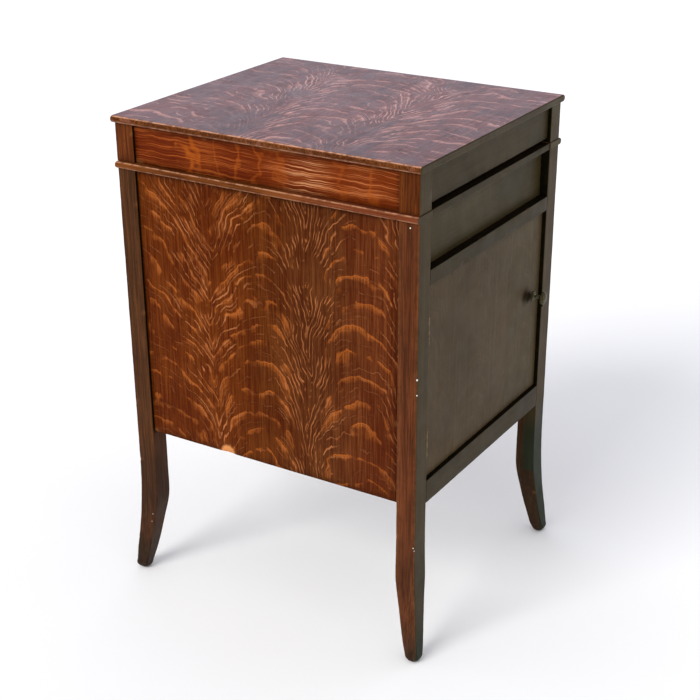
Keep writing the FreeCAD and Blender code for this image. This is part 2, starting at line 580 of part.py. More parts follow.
add("lid_top_board", top_board())
add("lid_corner_stiles", group([box(-HW, -PI_X, -HD, -PI_Y, Z_LID, Z_TOP), box(PI_X, HW, -HD, -PI_Y, Z_LID, Z_TOP),
                                box(-HW, -PI_X, PI_Y, HD, Z_LID, Z_TOP), box(PI_X, HW, PI_Y, HD, Z_LID, Z_TOP)]))
LA_X1 = HW - REC_SIDE
LA_X0 = LA_X1 - 12.0
add("lid_side_aprons", group([box(-LA_X1, -LA_X0, -PI_Y, PI_Y, Z_LID, Z_TOP), box(LA_X0, LA_X1, -PI_Y, PI_Y, Z_LID, Z_TOP)]))
LF0 = -HD + REC_LID
LF1 = LF0 + 12.0
add("lid_apron_front", box(-PI_X, PI_X, LF0, LF1, Z_PART + SLOT_H, Z_TOP))
lap_b = box(-PI_X, PI_X, HD - 12.0, HD, Z_LID, Z_TOP)
FR_X, FR_F, FR_B = WX, -PI_Y, PI_Y
fr_l = box(-LA_X0, -FR_X, -PI_Y, PI_Y, Z_LID, Z_TOP)
fr_f = box(-PI_X, PI_X, LF1, -PI_Y, Z_LID, Z_TOP)
fr_b = box(-PI_X, PI_X, PI_Y, HD - 12.0, Z_LID, Z_TOP)
for x0, x1 in LH_X:
    m = box(x0, x1, LEAF_Y0, HD + 1, Z_LID - 1, Z_LID + 1.2)
    lap_b = lap_b.cut(m)
    fr_b = fr_b.cut(m)
for c in lh_lid_cuts:
    lap_b = lap_b.cut(c)
    fr_b = fr_b.cut(c)
add("lid_apron_back", lap_b)
add("lid_inner_frame", group([fr_l, mirror_x(fr_l), fr_f, fr_b]))
Z_LC = 872.0
add("lid_cork", box(-FR_X, FR_X, FR_F, FR_B, Z_LC, Z_TOP))
add("lid_zinc", group([box(-FR_X, FR_X, FR_F, FR_B, Z_LC - ZN, Z_LC),
                       box(-FR_X, -FR_X + ZN, FR_F, FR_B, Z_LID + 1.0, Z_LC - ZN),
                       box(FR_X - ZN, FR_X, FR_F, FR_B, Z_LID + 1.0, Z_LC - ZN),
                       box(-FR_X + ZN, FR_X - ZN, FR_F, FR_F + ZN, Z_LID + 1.0, Z_LC - ZN),
                       box(-FR_X + ZN, FR_X - ZN, FR_B - ZN, FR_B, Z_LID + 1.0, Z_LC - ZN)]))
add("lid_hinge_case_leaves", group(lid_back_leaves))
add("lid_hinge_lid_leaves", group(lid_lid_leaves))
add("hinge_pins", group(lid_pins + door_pins))
add("lid_hinge_lid_screws", group(lh_lid_screws))

# ---------------------------------------------------------------- door
dpx0, dpx1 = -PI_X + DOOR_GAP_X, PI_X - DOOR_GAP_X
dpz0, dpz1 = Z_BR_T + DOOR_GAP_Z, Z_MR_B - DOOR_GAP_Z
door = box(dpx0, dpx1, Y_DOOR, Y_DOOR_B, dpz0, dpz1)
for c in door_cuts:
    door = door.cut(c)
door = door.cut(cyl(SPIN_R + RUN, (KNOB_X, Y_DOOR - 1, KNOB_Z), (0, 1, 0), DOOR_T + 2))
add("door_board", door)
add("door_cork", box(-PLUG_X + ZN, PLUG_X - ZN, Y_DOOR_B, PLUG_Y1 - ZN, PLUG_Z0 + ZN, PLUG_Z1 - ZN))
add("door_zinc", group([box(-PLUG_X, PLUG_X, PLUG_Y1 - ZN, PLUG_Y1, PLUG_Z0, PLUG_Z1),
                        box(-PLUG_X, -PLUG_X + ZN, Y_DOOR_B, PLUG_Y1 - ZN, PLUG_Z0, PLUG_Z1),
                        box(PLUG_X - ZN, PLUG_X, Y_DOOR_B, PLUG_Y1 - ZN, PLUG_Z0, PLUG_Z1),
                        box(-PLUG_X + ZN, PLUG_X - ZN, Y_DOOR_B, PLUG_Y1 - ZN, PLUG_Z0, PLUG_Z0 + ZN),
                        box(-PLUG_X + ZN, PLUG_X - ZN, Y_DOOR_B, PLUG_Y1 - ZN, PLUG_Z1 - ZN, PLUG_Z1)]))
gi_x, go_x = 176.0, 186.0
gi_z0, gi_z1, go_z0, go_z1 = 366.0, 685.0, 356.0, 695.0
GY1 = Y_JAMB_F - 0.2
add("door_gasket", group([box(-go_x, -gi_x, Y_DOOR_B, GY1, go_z0, go_z1), box(gi_x, go_x, Y_DOOR_B, GY1, go_z0, go_z1),
                          box(-gi_x, gi_x, Y_DOOR_B, GY1, go_z0, gi_z0), box(-gi_x, gi_x, Y_DOOR_B, GY1, gi_z1, go_z1)]))
add("door_hinge_case_leaves", group(door_case_leaves))
add("door_hinge_door_leaves", group(door_door_leaves))
add("case_hinge_screws", group(case_screws + lh_case_screws + strike_screws))
add("door_hinge_door_screws", group(door_screws))
add("strike_plate", strike)


# turned about the spindle axis; a is the distance in front of the door face
def turned(pts):
    w = [V(KNOB_X + r, Y_DOOR - a, KNOB_Z) for r, a in pts]
    return Part.Face(Part.makePolygon(w + [w[0]])).revolve(V(KNOB_X, 0, KNOB_Z), V(0, 1, 0), 360)


def turned_curve(groups):
    """Outline from lists of (radius, out) points: one list per smooth curve, two points for a line."""
    es = []
    for g in groups:
        pts = [V(KNOB_X + r, Y_DOOR - a, KNOB_Z) for r, a in g]
        if len(pts) == 2:
            es.append(Part.makeLine(pts[0], pts[1]))
        else:
            c = Part.BSplineCurve()
            c.interpolate(pts)
            es.append(c.toShape())
    return Part.Face(Part.Wire(es)).revolve(V(KNOB_X, 0, KNOB_Z), V(0, 1, 0), 360)


BR = SPIN_R + RUN
add("knob_rosette", turned_curve([[(BR, 0.0), (10.0, 0.0)], [(10.0, 0.0), (10.0, 0.9)],
                                  [(10.0, 0.9), (9.4, 1.8), (8.2, 2.1), (7.3, 1.9)],
                                  [(7.3, 1.9), (6.3, 2.3), (5.6, 3.2), (4.6, 3.8)],
                                  [(4.6, 3.8), (BR, 3.8)], [(BR, 3.8), (BR, 0.0)]]))
knob = turned_curve([[(0.0, 9.0), (SPIN_R, 9.0)],
                     [(SPIN_R, 9.0), (3.9, 12.0), (6.6, 15.2), (11.2, 17.0), (12.5, 19.2)],
                     [(12.5, 19.2), (12.2, 21.2), (10.6, 23.2), (7.0, 24.9), (3.4, 25.7), (0.0, KNOB_OUT)],
                     [(0.0, KNOB_OUT), (0.0, 9.0)]])
# thumb tail under the head: it shows which way the latch is turned
tail = []
tw = [(KNOB_X - 1.9, -10.0), (KNOB_X + 1.9, -10.0), (KNOB_X + 1.9, -15.5), (KNOB_X - 1.9, -15.5)]
tail.append(poly_face([(x, Y_DOOR - 17.4, KNOB_Z + z) for x, z in tw]).extrude(V(0, -3.6, 0)))
tail.append(Part.makeSphere(3.1, V(KNOB_X, Y_DOOR - 19.2, KNOB_Z - 16.2)))
knob = fuse([knob] + tail)
add("latch_knob", knob)
CAM_Y0, CAM_Y1 = Y_DOOR_B + 2.3, Y_DOOR_B + 5.3
CAM_L = 16.5
spindle = cyl(SPIN_R, (KNOB_X, CAM_Y1, KNOB_Z), (0, -1, 0), CAM_Y1 - (Y_DOOR - 9.0))
add("latch_spindle", spindle)
cam = fuse([cyl(5.6, (KNOB_X, CAM_Y0, KNOB_Z), (0, 1, 0), CAM_Y1 - CAM_Y0),
            box(KNOB_X - 4.2, KNOB_X + 4.2, CAM_Y0, CAM_Y1, KNOB_Z, KNOB_Z + CAM_L),
            cyl(4.2, (KNOB_X, CAM_Y0, KNOB_Z + CAM_L), (0, 1, 0), CAM_Y1 - CAM_Y0)])
cam = cam.cut(cyl(SPIN_R, (KNOB_X, CAM_Y0 - 1, KNOB_Z), (0, 1, 0), 10))
add("latch_cam", cam)

if __name__ == "__main__":
    bb = None
    for n_, s_ in PARTS.items():
        b_ = s_.BoundBox
        bb = b_ if bb is None else bb.united(b_)
    print(len(PARTS), "parts", round(bb.XMin, 3), round(bb.XMax, 3), round(bb.YMin, 3), round(bb.YMax, 3),
          round(bb.ZMin, 3), round(bb.ZMax, 3))
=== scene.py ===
import math

import bpy
import numpy as np
from mathutils import Matrix, Vector


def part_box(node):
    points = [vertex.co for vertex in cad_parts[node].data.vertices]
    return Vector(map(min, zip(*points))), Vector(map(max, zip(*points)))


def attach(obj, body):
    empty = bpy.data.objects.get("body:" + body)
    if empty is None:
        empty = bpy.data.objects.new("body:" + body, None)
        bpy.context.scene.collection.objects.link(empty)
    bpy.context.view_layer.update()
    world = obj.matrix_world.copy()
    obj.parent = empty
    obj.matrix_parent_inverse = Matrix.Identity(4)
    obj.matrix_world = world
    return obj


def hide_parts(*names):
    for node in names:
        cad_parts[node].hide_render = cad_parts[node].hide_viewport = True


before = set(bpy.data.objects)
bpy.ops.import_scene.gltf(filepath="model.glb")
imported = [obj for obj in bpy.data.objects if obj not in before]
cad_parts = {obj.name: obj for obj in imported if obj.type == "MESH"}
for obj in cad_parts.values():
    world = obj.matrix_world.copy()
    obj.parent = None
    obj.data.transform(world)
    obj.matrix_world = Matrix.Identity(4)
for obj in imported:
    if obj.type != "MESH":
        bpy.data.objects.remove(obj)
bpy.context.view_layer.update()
scene = bpy.context.scene


def cad_box(node):
    lo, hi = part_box(node)
    return np.array(lo) * 1000.0, np.array(hi) * 1000.0


_lo, _hi = cad_box("side_panel_left")
YS = float(_lo[1] + _hi[1]) / 2.0          # middle of the case in y, mm
HW, HD, POST = 263.0, 303.5, 38.0
Z_WAIST, Z_PART = 821.0, 833.0

# ------------------------------------------------------------------ number noise, the same on every run


def _hash(ix, iy, iz, seed):
    h = (ix.astype(np.int64) * 374761393 + iy.astype(np.int64) * 668265263 + iz.astype(np.int64) * 1440662683
         + int(seed) * 1274126177) & 0xFFFFFFFF
    h = ((h ^ (h >> 13)) * 1274126177) & 0xFFFFFFFF
    h = ((h ^ (h >> 16)) * 2246822519) & 0xFFFFFFFF
    return ((h ^ (h >> 15)) & 0xFFFFFF) / float(0xFFFFFF)


def vnoise(p, seed=0):
    """Smooth value noise, -1 to 1, one feature per unit."""
    p = np.asarray(p, float)
    i = np.floor(p).astype(np.int64)
    f = p - i
    f = f * f * (3 - 2 * f)
    out = 0.0
    for dx in (0, 1):
        for dy in (0, 1):
            for dz in (0, 1):
                w = (f[:, 0] if dx else 1 - f[:, 0]) * (f[:, 1] if dy else 1 - f[:, 1]) * (f[:, 2] if dz else 1 - f[:, 2])
                out = out + w * _hash(i[:, 0] + dx, i[:, 1] + dy, i[:, 2] + dz, seed)
    return out * 2 - 1


# ------------------------------------------------------------------ mesh builders, millimetres in, metres out


def mesh_object(name, verts, faces, body, mat, replaces=(), normals=None, attrs=None, smooth=True):
    me = bpy.data.meshes.new(name)
    me.from_pydata((np.asarray(verts, float) / 1000.0).tolist(), [], [list(f) for f in faces])
    me.validate(verbose=False)
    me.update()
    ob = bpy.data.objects.new(name, me)
    scene.collection.objects.link(ob)
    me.materials.append(mat)
    for p in me.polygons:
        p.use_smooth = smooth
    attrs = dict(attrs or {})
    if normals is not None:
        vv, nn = np.asarray(verts, float), np.asarray(normals, float)
        y, ax_ = vv[:, 1] - YS, np.abs(vv[:, 0])
        # front: faces turned to the front, and the return faces just behind the front, take the darker front colours,
        # which are painted shade
        zone = (y < -HD + 22.0) & (ax_ < HW - POST + 1.2) & (nn[:, 1] < 0.5) & (nn[:, 2] < 0.5)
        zone |= (y < -HD + 3.5) & (vv[:, 0] > -HW + 1.5) & (nn[:, 0] > -0.5) & (vv[:, 2] > 300.0)
        attrs.setdefault("front", np.clip(np.maximum(np.clip(-nn[:, 1] * 1.6 - 0.3, 0, 1), zone * 1.0), 0, 1)
                         * (y < -HD + 40.0))
        attrs.setdefault("recess_shade", np.zeros(len(vv)))
    for k, v in attrs.items():
        at = me.attributes.new(k, "FLOAT", "POINT")
        at.data.foreach_set("value", np.asarray(v, np.float32))
    if normals is not None:
        me.normals_split_custom_set_from_vertices(np.asarray(normals, float).tolist())
    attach(ob, body)
    if replaces:
        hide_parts(*replaces)
    return ob


def axis_pts(lo, hi, r, step):
    t = r * (1 - np.tan(np.radians([45.0, 30.0, 15.0, 0.0])))
    n = max(1, int(math.ceil((hi - lo - 2 * r) / step)))
    mid = np.linspace(lo + r, hi - r, n + 1)
    return np.concatenate([lo + t[:-1], mid, (hi - t[:-1])[::-1]])


def rounded_box(lo, hi, r=1.2, step=10.0, wear=0.45, und=0.1, seed=1, bumps=()):
    """Box whose arrises are worn round, by an amount that wanders along them. Returns verts, faces, normals, attrs."""
    lo, hi = np.asarray(lo, float), np.asarray(hi, float)
    rr = min(r, 0.42 * float((hi - lo).min()))
    ax = [axis_pts(lo[k], hi[k], rr, step if (hi - lo)[k] > 2.4 * step else (hi - lo)[k]) for k in range(3)]
    nx, ny, nz = (len(a) for a in ax)
    I, J, K = np.meshgrid(np.arange(nx), np.arange(ny), np.arange(nz), indexing="ij")
    surf = (I == 0) | (I == nx - 1) | (J == 0) | (J == ny - 1) | (K == 0) | (K == nz - 1)
    idx = -np.ones((nx, ny, nz), int)
    idx[surf] = np.arange(int(surf.sum()))
    P = np.stack([ax[0][I[surf]], ax[1][J[surf]], ax[2][K[surf]]], 1)
    q = []

    def quads(a, flip):
        b = [a[:-1, :-1], a[1:, :-1], a[1:, 1:], a[:-1, 1:]]
        if flip:
            b = b[::-1]
        q.append(np.stack([x.ravel() for x in b], 1))

    quads(idx[0, :, :], True)
    quads(idx[-1, :, :], False)
    quads(idx[:, 0, :], False)
    quads(idx[:, -1, :], True)
    quads(idx[:, :, 0], True)
    quads(idx[:, :, -1], False)
    R = rr * (1 + wear * (0.65 * vnoise(P / 21.0, seed) + 0.45 * vnoise(P / 6.0, seed + 7)))
    nick = np.zeros(len(P))
    for bx, by, bz, rad, add in bumps:
        w = np.exp(-(((P - np.array([bx, by, bz])) / rad) ** 2).sum(1))
        R = R + add * w
        nick = np.maximum(nick, w * min(1.0, add / 1.6))
    R = np.clip(R, 0.3 * rr, 0.49 * float((hi - lo).min()))
    Rc = R[:, None]
    qn = np.minimum(np.maximum(P, lo + Rc), hi - Rc)
    d = P - qn
    L = np.linalg.norm(d, axis=1)[:, None]
    n = d / np.maximum(L, 1e-9)
    V = qn + Rc * n
    V = V - n * (und * (0.5 + 0.5 * vnoise(V / 55.0, seed + 3)))[:, None]
    arris = np.clip((1 - np.abs(n).max(1)) / 0.25, 0, 1)
    dist = np.minimum(P - lo, hi - P)
    dist = np.sort(dist, axis=1)
    # rim_shade: painted shade that darkens a board towards the edges of its faces, where its neighbours meet it
    rim_shade = np.exp(-dist[:, 1] / 7.0)
    return V, np.concatenate(q), n, {"arris": arris, "nick": nick, "rim_shade": rim_shade}


def join_meshes(parts):
    vs, fs, ns, at, off = [], [], [], {}, 0
    for v, f, n, a in parts:
        vs.append(v)
        fs.append(np.asarray(f) + off)
        ns.append(n)
        for k, x in a.items():
            at.setdefault(k, []).append(x)
        off += len(v)
    return np.concatenate(vs), np.concatenate(fs), np.concatenate(ns), {k: np.concatenate(x) for k, x in at.items()}


def solids_of(node):
    """Boxes of a node's separate solids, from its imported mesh, in mm."""
    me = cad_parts[node].data
    co = np.array([v.co for v in me.vertices], float) * 1000.0
    key = np.round(co, 3)
    uniq, inv = np.unique(key, axis=0, return_inverse=True)
    inv = inv.ravel()
    parent = list(range(len(uniq)))

    def find(i):
        while parent[i] != i:
            parent[i] = parent[parent[i]]
            i = parent[i]
        return i

    for p in me.polygons:
        vs = [inv[v] for v in p.vertices]
        for v in vs[1:]:
            a, b = find(vs[0]), find(v)
            if a != b:
                parent[a] = b
    root = np.array([find(i) for i in range(len(uniq))])
    out = []
    for r in np.unique(root):
        pts = uniq[root == r]
        out.append((pts.min(0), pts.max(0)))
    out.sort(key=lambda b: tuple(np.round(b[0], 1)))
    return out


def ring_of(node):
    """Boxes of an upright rectangular frame: two sides between a bottom and a top piece, in mm."""
    co = np.array([v.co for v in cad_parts[node].data.vertices], float) * 1000.0
    x0, x1, x2, x3 = np.unique(np.round(co[:, 0], 2))[[0, 1, -2, -1]]
    z0, z1, z2, z3 = np.unique(np.round(co[:, 2], 2))[[0, 1, -2, -1]]
    y0, y1 = co[:, 1].min(), co[:, 1].max()
    return [(np.array([a, y0, c]), np.array([b, y1, d])) for a, b, c, d in
            ((x0, x3, z0, z1), (x0, x3, z2, z3), (x0, x1, z1, z2), (x2, x3, z1, z2))]


def auto_nicks(lo, hi, seed, every=260.0, size=(0.5, 1.6)):
    """Small knocks scattered along a board's arrises."""
    rng = np.random.RandomState(seed)
    out = []
    lo, hi = np.asarray(lo), np.asarray(hi)
    for k in range(3):
        L = hi[k] - lo[k]
        o = [m for m in range(3) if m != k]
        for sa in (0, 1):
            for sb in (0, 1):
                for _ in range(rng.poisson(L / every)):
                    p = np.zeros(3)
                    p[k] = lo[k] + rng.rand() * L
                    p[o[0]] = (lo, hi)[sa][o[0]]
                    p[o[1]] = (lo, hi)[sb][o[1]]
                    out.append((p[0], p[1], p[2], 1.6 + 2.6 * rng.rand(), size[0] + (size[1] - size[0]) * rng.rand()))
    return out


def board(node, body, mat, r=1.2, step=10.0, wear=0.45, und=0.1, seed=1, bumps=(), nicks=260.0, recess_shade=None, ring=False):
    parts = []
    for i, (lo, hi) in enumerate(ring_of(node) if ring else solids_of(node)):
        bs = list(bumps) + (auto_nicks(lo, hi, seed * 31 + i, nicks) if nicks else [])
        parts.append(rounded_box(lo, hi, r, step, wear, und, seed + 13 * i, bs))
    v, f, n, a = join_meshes(parts)
    if recess_shade is not None:
        a["recess_shade"] = np.clip(recess_shade(v - np.array([0.0, YS, 0.0]), n), 0, 1)
    return mesh_object(node + "_v", v, f, body, mat, (node,), n, a)


def sweep(prof, nrm, pos, s0, s1, re, step, pairs=None, wear=0.0, seed=5, wear_and_highlight_mask=None, hard=None):
    """Profile (u, v) with outward normals, swept from s0 to s1 with rounded ends. pos(u, v, s) gives the point."""
    prof, nrm = np.asarray(prof, float), np.asarray(nrm, float)
    th = np.radians([0.0, 22.5, 45.0, 67.5, 90.0])
    ss = list(s0 + re - re * np.cos(th)) + list(np.linspace(s0 + re, s1 - re, max(2, int((s1 - s0) / step)))[1:-1]) \
        + list((s1 - re + re * np.cos(th))[::-1])
    inset = list(re - re * np.sin(th)) + [0.0] * (len(ss) - 10) + list((re - re * np.sin(th))[::-1])
    axn = list(-np.cos(th)) + [0.0] * (len(ss) - 10) + list((np.cos(th))[::-1])
    M = len(prof)
    V, N = [], []
    for s, i, a in zip(ss, inset, axn):
        p = prof - nrm * i
        V.append(np.stack(pos(p[:, 0], p[:, 1], np.full(M, s)), 1))
        c = math.sqrt(max(0.0, 1 - a * a))
        n3 = np.stack(pos(nrm[:, 0] * c, nrm[:, 1] * c, np.full(M, a)), 1)
        N.append(n3)
    V, N = np.concatenate(V), np.concatenate(N)
    N /= np.maximum(np.linalg.norm(N, axis=1)[:, None], 1e-9)
    wm = np.tile(np.ones(M) if wear_and_highlight_mask is None else np.asarray(wear_and_highlight_mask, float), len(ss))
    endm = np.repeat(np.abs(np.array(axn)), M)
    if wear:
        k = np.clip(0.55 * vnoise(V / 26.0, seed) + 0.45 * vnoise(V / 7.0, seed + 1), -0.3, 1)
        V = V - N * (wear * np.maximum(wm, 0.0) * (0.3 + k))[:, None]
    faces = []
    R = len(ss)
    for j in range(R - 1):
        a = j * M
        for i in range(M):
            i2 = (i + 1) % M
            faces.append((a + i, a + i2, a + M + i2, a + M + i))
    if pairs is None:
        faces.append(tuple(range(M))[::-1])
        faces.append(tuple((R - 1) * M + i for i in range(M)))
    else:
        strips, ends = pairs
        for a, b, c, d in strips:
            faces.append((d, c, b, a))
            faces.append(tuple((R - 1) * M + x for x in (a, b, c, d)))
        for e in ends:
            faces.append(tuple(e)[::-1])
            faces.append(tuple((R - 1) * M + x for x in e))
    arris = np.clip(np.maximum(wm, 0.6 * np.exp(-((endm - 0.7) / 0.22) ** 2)), 0, 1)
    return V, faces, N, {"arris": arris, "nick": np.zeros(len(V)), "rim_shade": np.zeros(len(V))}


# ------------------------------------------------------------------ shader graph builder


class E:
    """A value socket with arithmetic."""

    def __init__(self, b, s):
        self.b, self.s = b, s

    def _m(self, op, o=None, o2=None, clamp=False):
        return self.b.math(op, self, o, o2, clamp)

    def __add__(self, o): return self._m("ADD", o)
    __radd__ = __add__
    def __sub__(self, o): return self._m("SUBTRACT", o)
    def __rsub__(self, o): return self.b.math("SUBTRACT", o, self)
    def __mul__(self, o): return self._m("MULTIPLY", o)
    __rmul__ = __mul__
    def __truediv__(self, o): return self._m("DIVIDE", o)
    def __rtruediv__(self, o): return self.b.math("DIVIDE", o, self)
    def abs(self): return self._m("ABSOLUTE")
    def sqrt(self): return self._m("SQRT")
    def fract(self): return self._m("FRACT")
    def max(self, o): return self._m("MAXIMUM", o)
    def min(self, o): return self._m("MINIMUM", o)
    def pow(self, o): return self._m("POWER", o)
    def clamp(self): return self._m("ADD", 0.0, clamp=True)


class B:
    def __init__(self, name):
        self.mat = bpy.data.materials.new(name)
        self.mat.use_nodes = True
        self.nt = self.mat.node_tree
        self.nt.nodes.clear()
        self.out = self.nt.nodes.new("ShaderNodeOutputMaterial")
        self.bsdf = self.nt.nodes.new("ShaderNodeBsdfPrincipled")
        self.nt.links.new(self.bsdf.outputs[0], self.out.inputs["Surface"])
        tc = self.nt.nodes.new("ShaderNodeTexCoord")
        sc = self.nt.nodes.new("ShaderNodeVectorMath")
        sc.operation = "SCALE"
        self.nt.links.new(tc.outputs["Object"], sc.inputs[0])
        sc.inputs["Scale"].default_value = 1000.0
        self.P = sc.outputs[0]
        sep = self.nt.nodes.new("ShaderNodeSeparateXYZ")
        self.nt.links.new(self.P, sep.inputs[0])
        self.X, self.Y, self.Z = (E(self, sep.outputs[k]) for k in range(3))

    def put(self, sock, v):
        if v is None:
            return
        if isinstance(v, E):
            self.nt.links.new(v.s, sock)
        elif isinstance(v, bpy.types.NodeSocket):
            self.nt.links.new(v, sock)
        else:
            sock.default_value = v

    def math(self, op, a, b=None, c=None, clamp=False):
        n = self.nt.nodes.new("ShaderNodeMath")
        n.operation = op
        n.use_clamp = clamp
        self.put(n.inputs[0], a)
        if b is not None:
            self.put(n.inputs[1], b)
        if c is not None:
            self.put(n.inputs[2], c)
        return E(self, n.outputs[0])

    def vec(self, x, y, z):
        n = self.nt.nodes.new("ShaderNodeCombineXYZ")
        for s, v in zip(n.inputs, (x, y, z)):
            self.put(s, v)
        return n.outputs[0]

    def noise(self, v, scale, detail=2.0, rough=0.5, dist=0.0, colour=False):
        n = self.nt.nodes.new("ShaderNodeTexNoise")
        n.noise_dimensions = "3D"
        self.put(n.inputs["Vector"], v)
        n.inputs["Scale"].default_value = scale
        n.inputs["Detail"].default_value = detail
        n.inputs["Roughness"].default_value = rough
        n.inputs["Distortion"].default_value = dist
        if colour:
            s = self.nt.nodes.new("ShaderNodeSeparateColor")
            self.nt.links.new(n.outputs["Color"], s.inputs[0])
            return tuple(E(self, s.outputs[k]) - 0.5 for k in range(3))
        return E(self, n.outputs[0])

    def offset(self, d):
        n = self.nt.nodes.new("ShaderNodeVectorMath")
        n.operation = "ADD"
        self.put(n.inputs[0], self.P)
        n.inputs[1].default_value = d
        return n.outputs[0]

    def voronoi(self, v, scale, feature="F1", out="Distance", rand=1.0):
        n = self.nt.nodes.new("ShaderNodeTexVoronoi")
        n.feature = feature
        self.put(n.inputs["Vector"], v)
        n.inputs["Scale"].default_value = scale
        n.inputs["Randomness"].default_value = rand
        if out == "Color":
            s = self.nt.nodes.new("ShaderNodeSeparateColor")
            self.nt.links.new(n.outputs["Color"], s.inputs[0])
            return E(self, s.outputs[0])
        return E(self, n.outputs[out])

    def step(self, x, a, b, lo=0.0, hi=1.0):
        """Smooth step from lo at a to hi at b."""
        n = self.nt.nodes.new("ShaderNodeMapRange")
        n.interpolation_type = "SMOOTHSTEP"
        self.put(n.inputs[0], x)
        for s, v in zip(n.inputs[1:5], (a, b, lo, hi)):
            self.put(s, v)
        return E(self, n.outputs[0])

    def mix(self, f, a, b, kind="MIX"):
        n = self.nt.nodes.new("ShaderNodeMix")
        n.data_type = "RGBA"
        n.blend_type = kind
        n.clamp_factor = True
        self.put(n.inputs[0], f)
        for s, v in ((n.inputs[6], a), (n.inputs[7], b)):
            self.put(s, tuple(v) + (1.0,) if isinstance(v, (tuple, list)) and len(v) == 3 else v)
        return n.outputs[2]

    def attr(self, name):
        n = self.nt.nodes.new("ShaderNodeAttribute")
        n.attribute_type = "GEOMETRY"
        n.attribute_name = name
        return E(self, n.outputs["Fac"])

    def bump(self, h, strength, dist, prev=None):
        n = self.nt.nodes.new("ShaderNodeBump")
        n.inputs["Strength"].default_value = strength
        n.inputs["Distance"].default_value = dist
        self.put(n.inputs["Height"], h)
        if prev is not None:
            self.put(n.inputs["Normal"], prev)
        return n.outputs[0]

    def near(self, p, r0, r1):
        """1 within r0 mm of point p, falling to 0 at r1."""
        n = self.nt.nodes.new("ShaderNodeVectorMath")
        n.operation = "DISTANCE"
        self.put(n.inputs[0], self.P)
        n.inputs[1].default_value = p
        return self.step(E(self, n.outputs["Value"]), r0, r1, 1.0, 0.0)


SRGB = lambda r, g, b: tuple(((c / 255.0 + 0.055) / 1.055) ** 2.4 if c > 10 else c / 255.0 / 12.92 for c in (r, g, b))

# finish of the sides and top, and the duller, darker, greyer copy of it on the front, which is painted shade whose grey
# stands in for a reflected sky
DARK = (0.066, 0.0090, 0.0008)
MID = (0.098, 0.0190, 0.0020)
LIGHT = (0.140, 0.0310, 0.0036)
FLECK = (0.345, 0.088, 0.0140)
PALE = (0.372, 0.128, 0.0430)
FRONT_SHADE_DARK = (0.0415, 0.0272, 0.0105)
FRONT_SHADE_MID = (0.0548, 0.0366, 0.0145)
FRONT_SHADE_LIGHT = (0.0690, 0.0465, 0.0190)
FRONT_SHADE_FLECK = (0.0860, 0.0585, 0.0250)
# near-black colour painted as shade on ledges, undersides and return faces in the recesses
RECESS_SHADE_COLOUR = (0.0052, 0.0046, 0.0022)


def mul(c, k):
    return tuple(x * k for x in c)


def tmul(c, k):
    return tuple(x * y for x, y in zip(c, k))


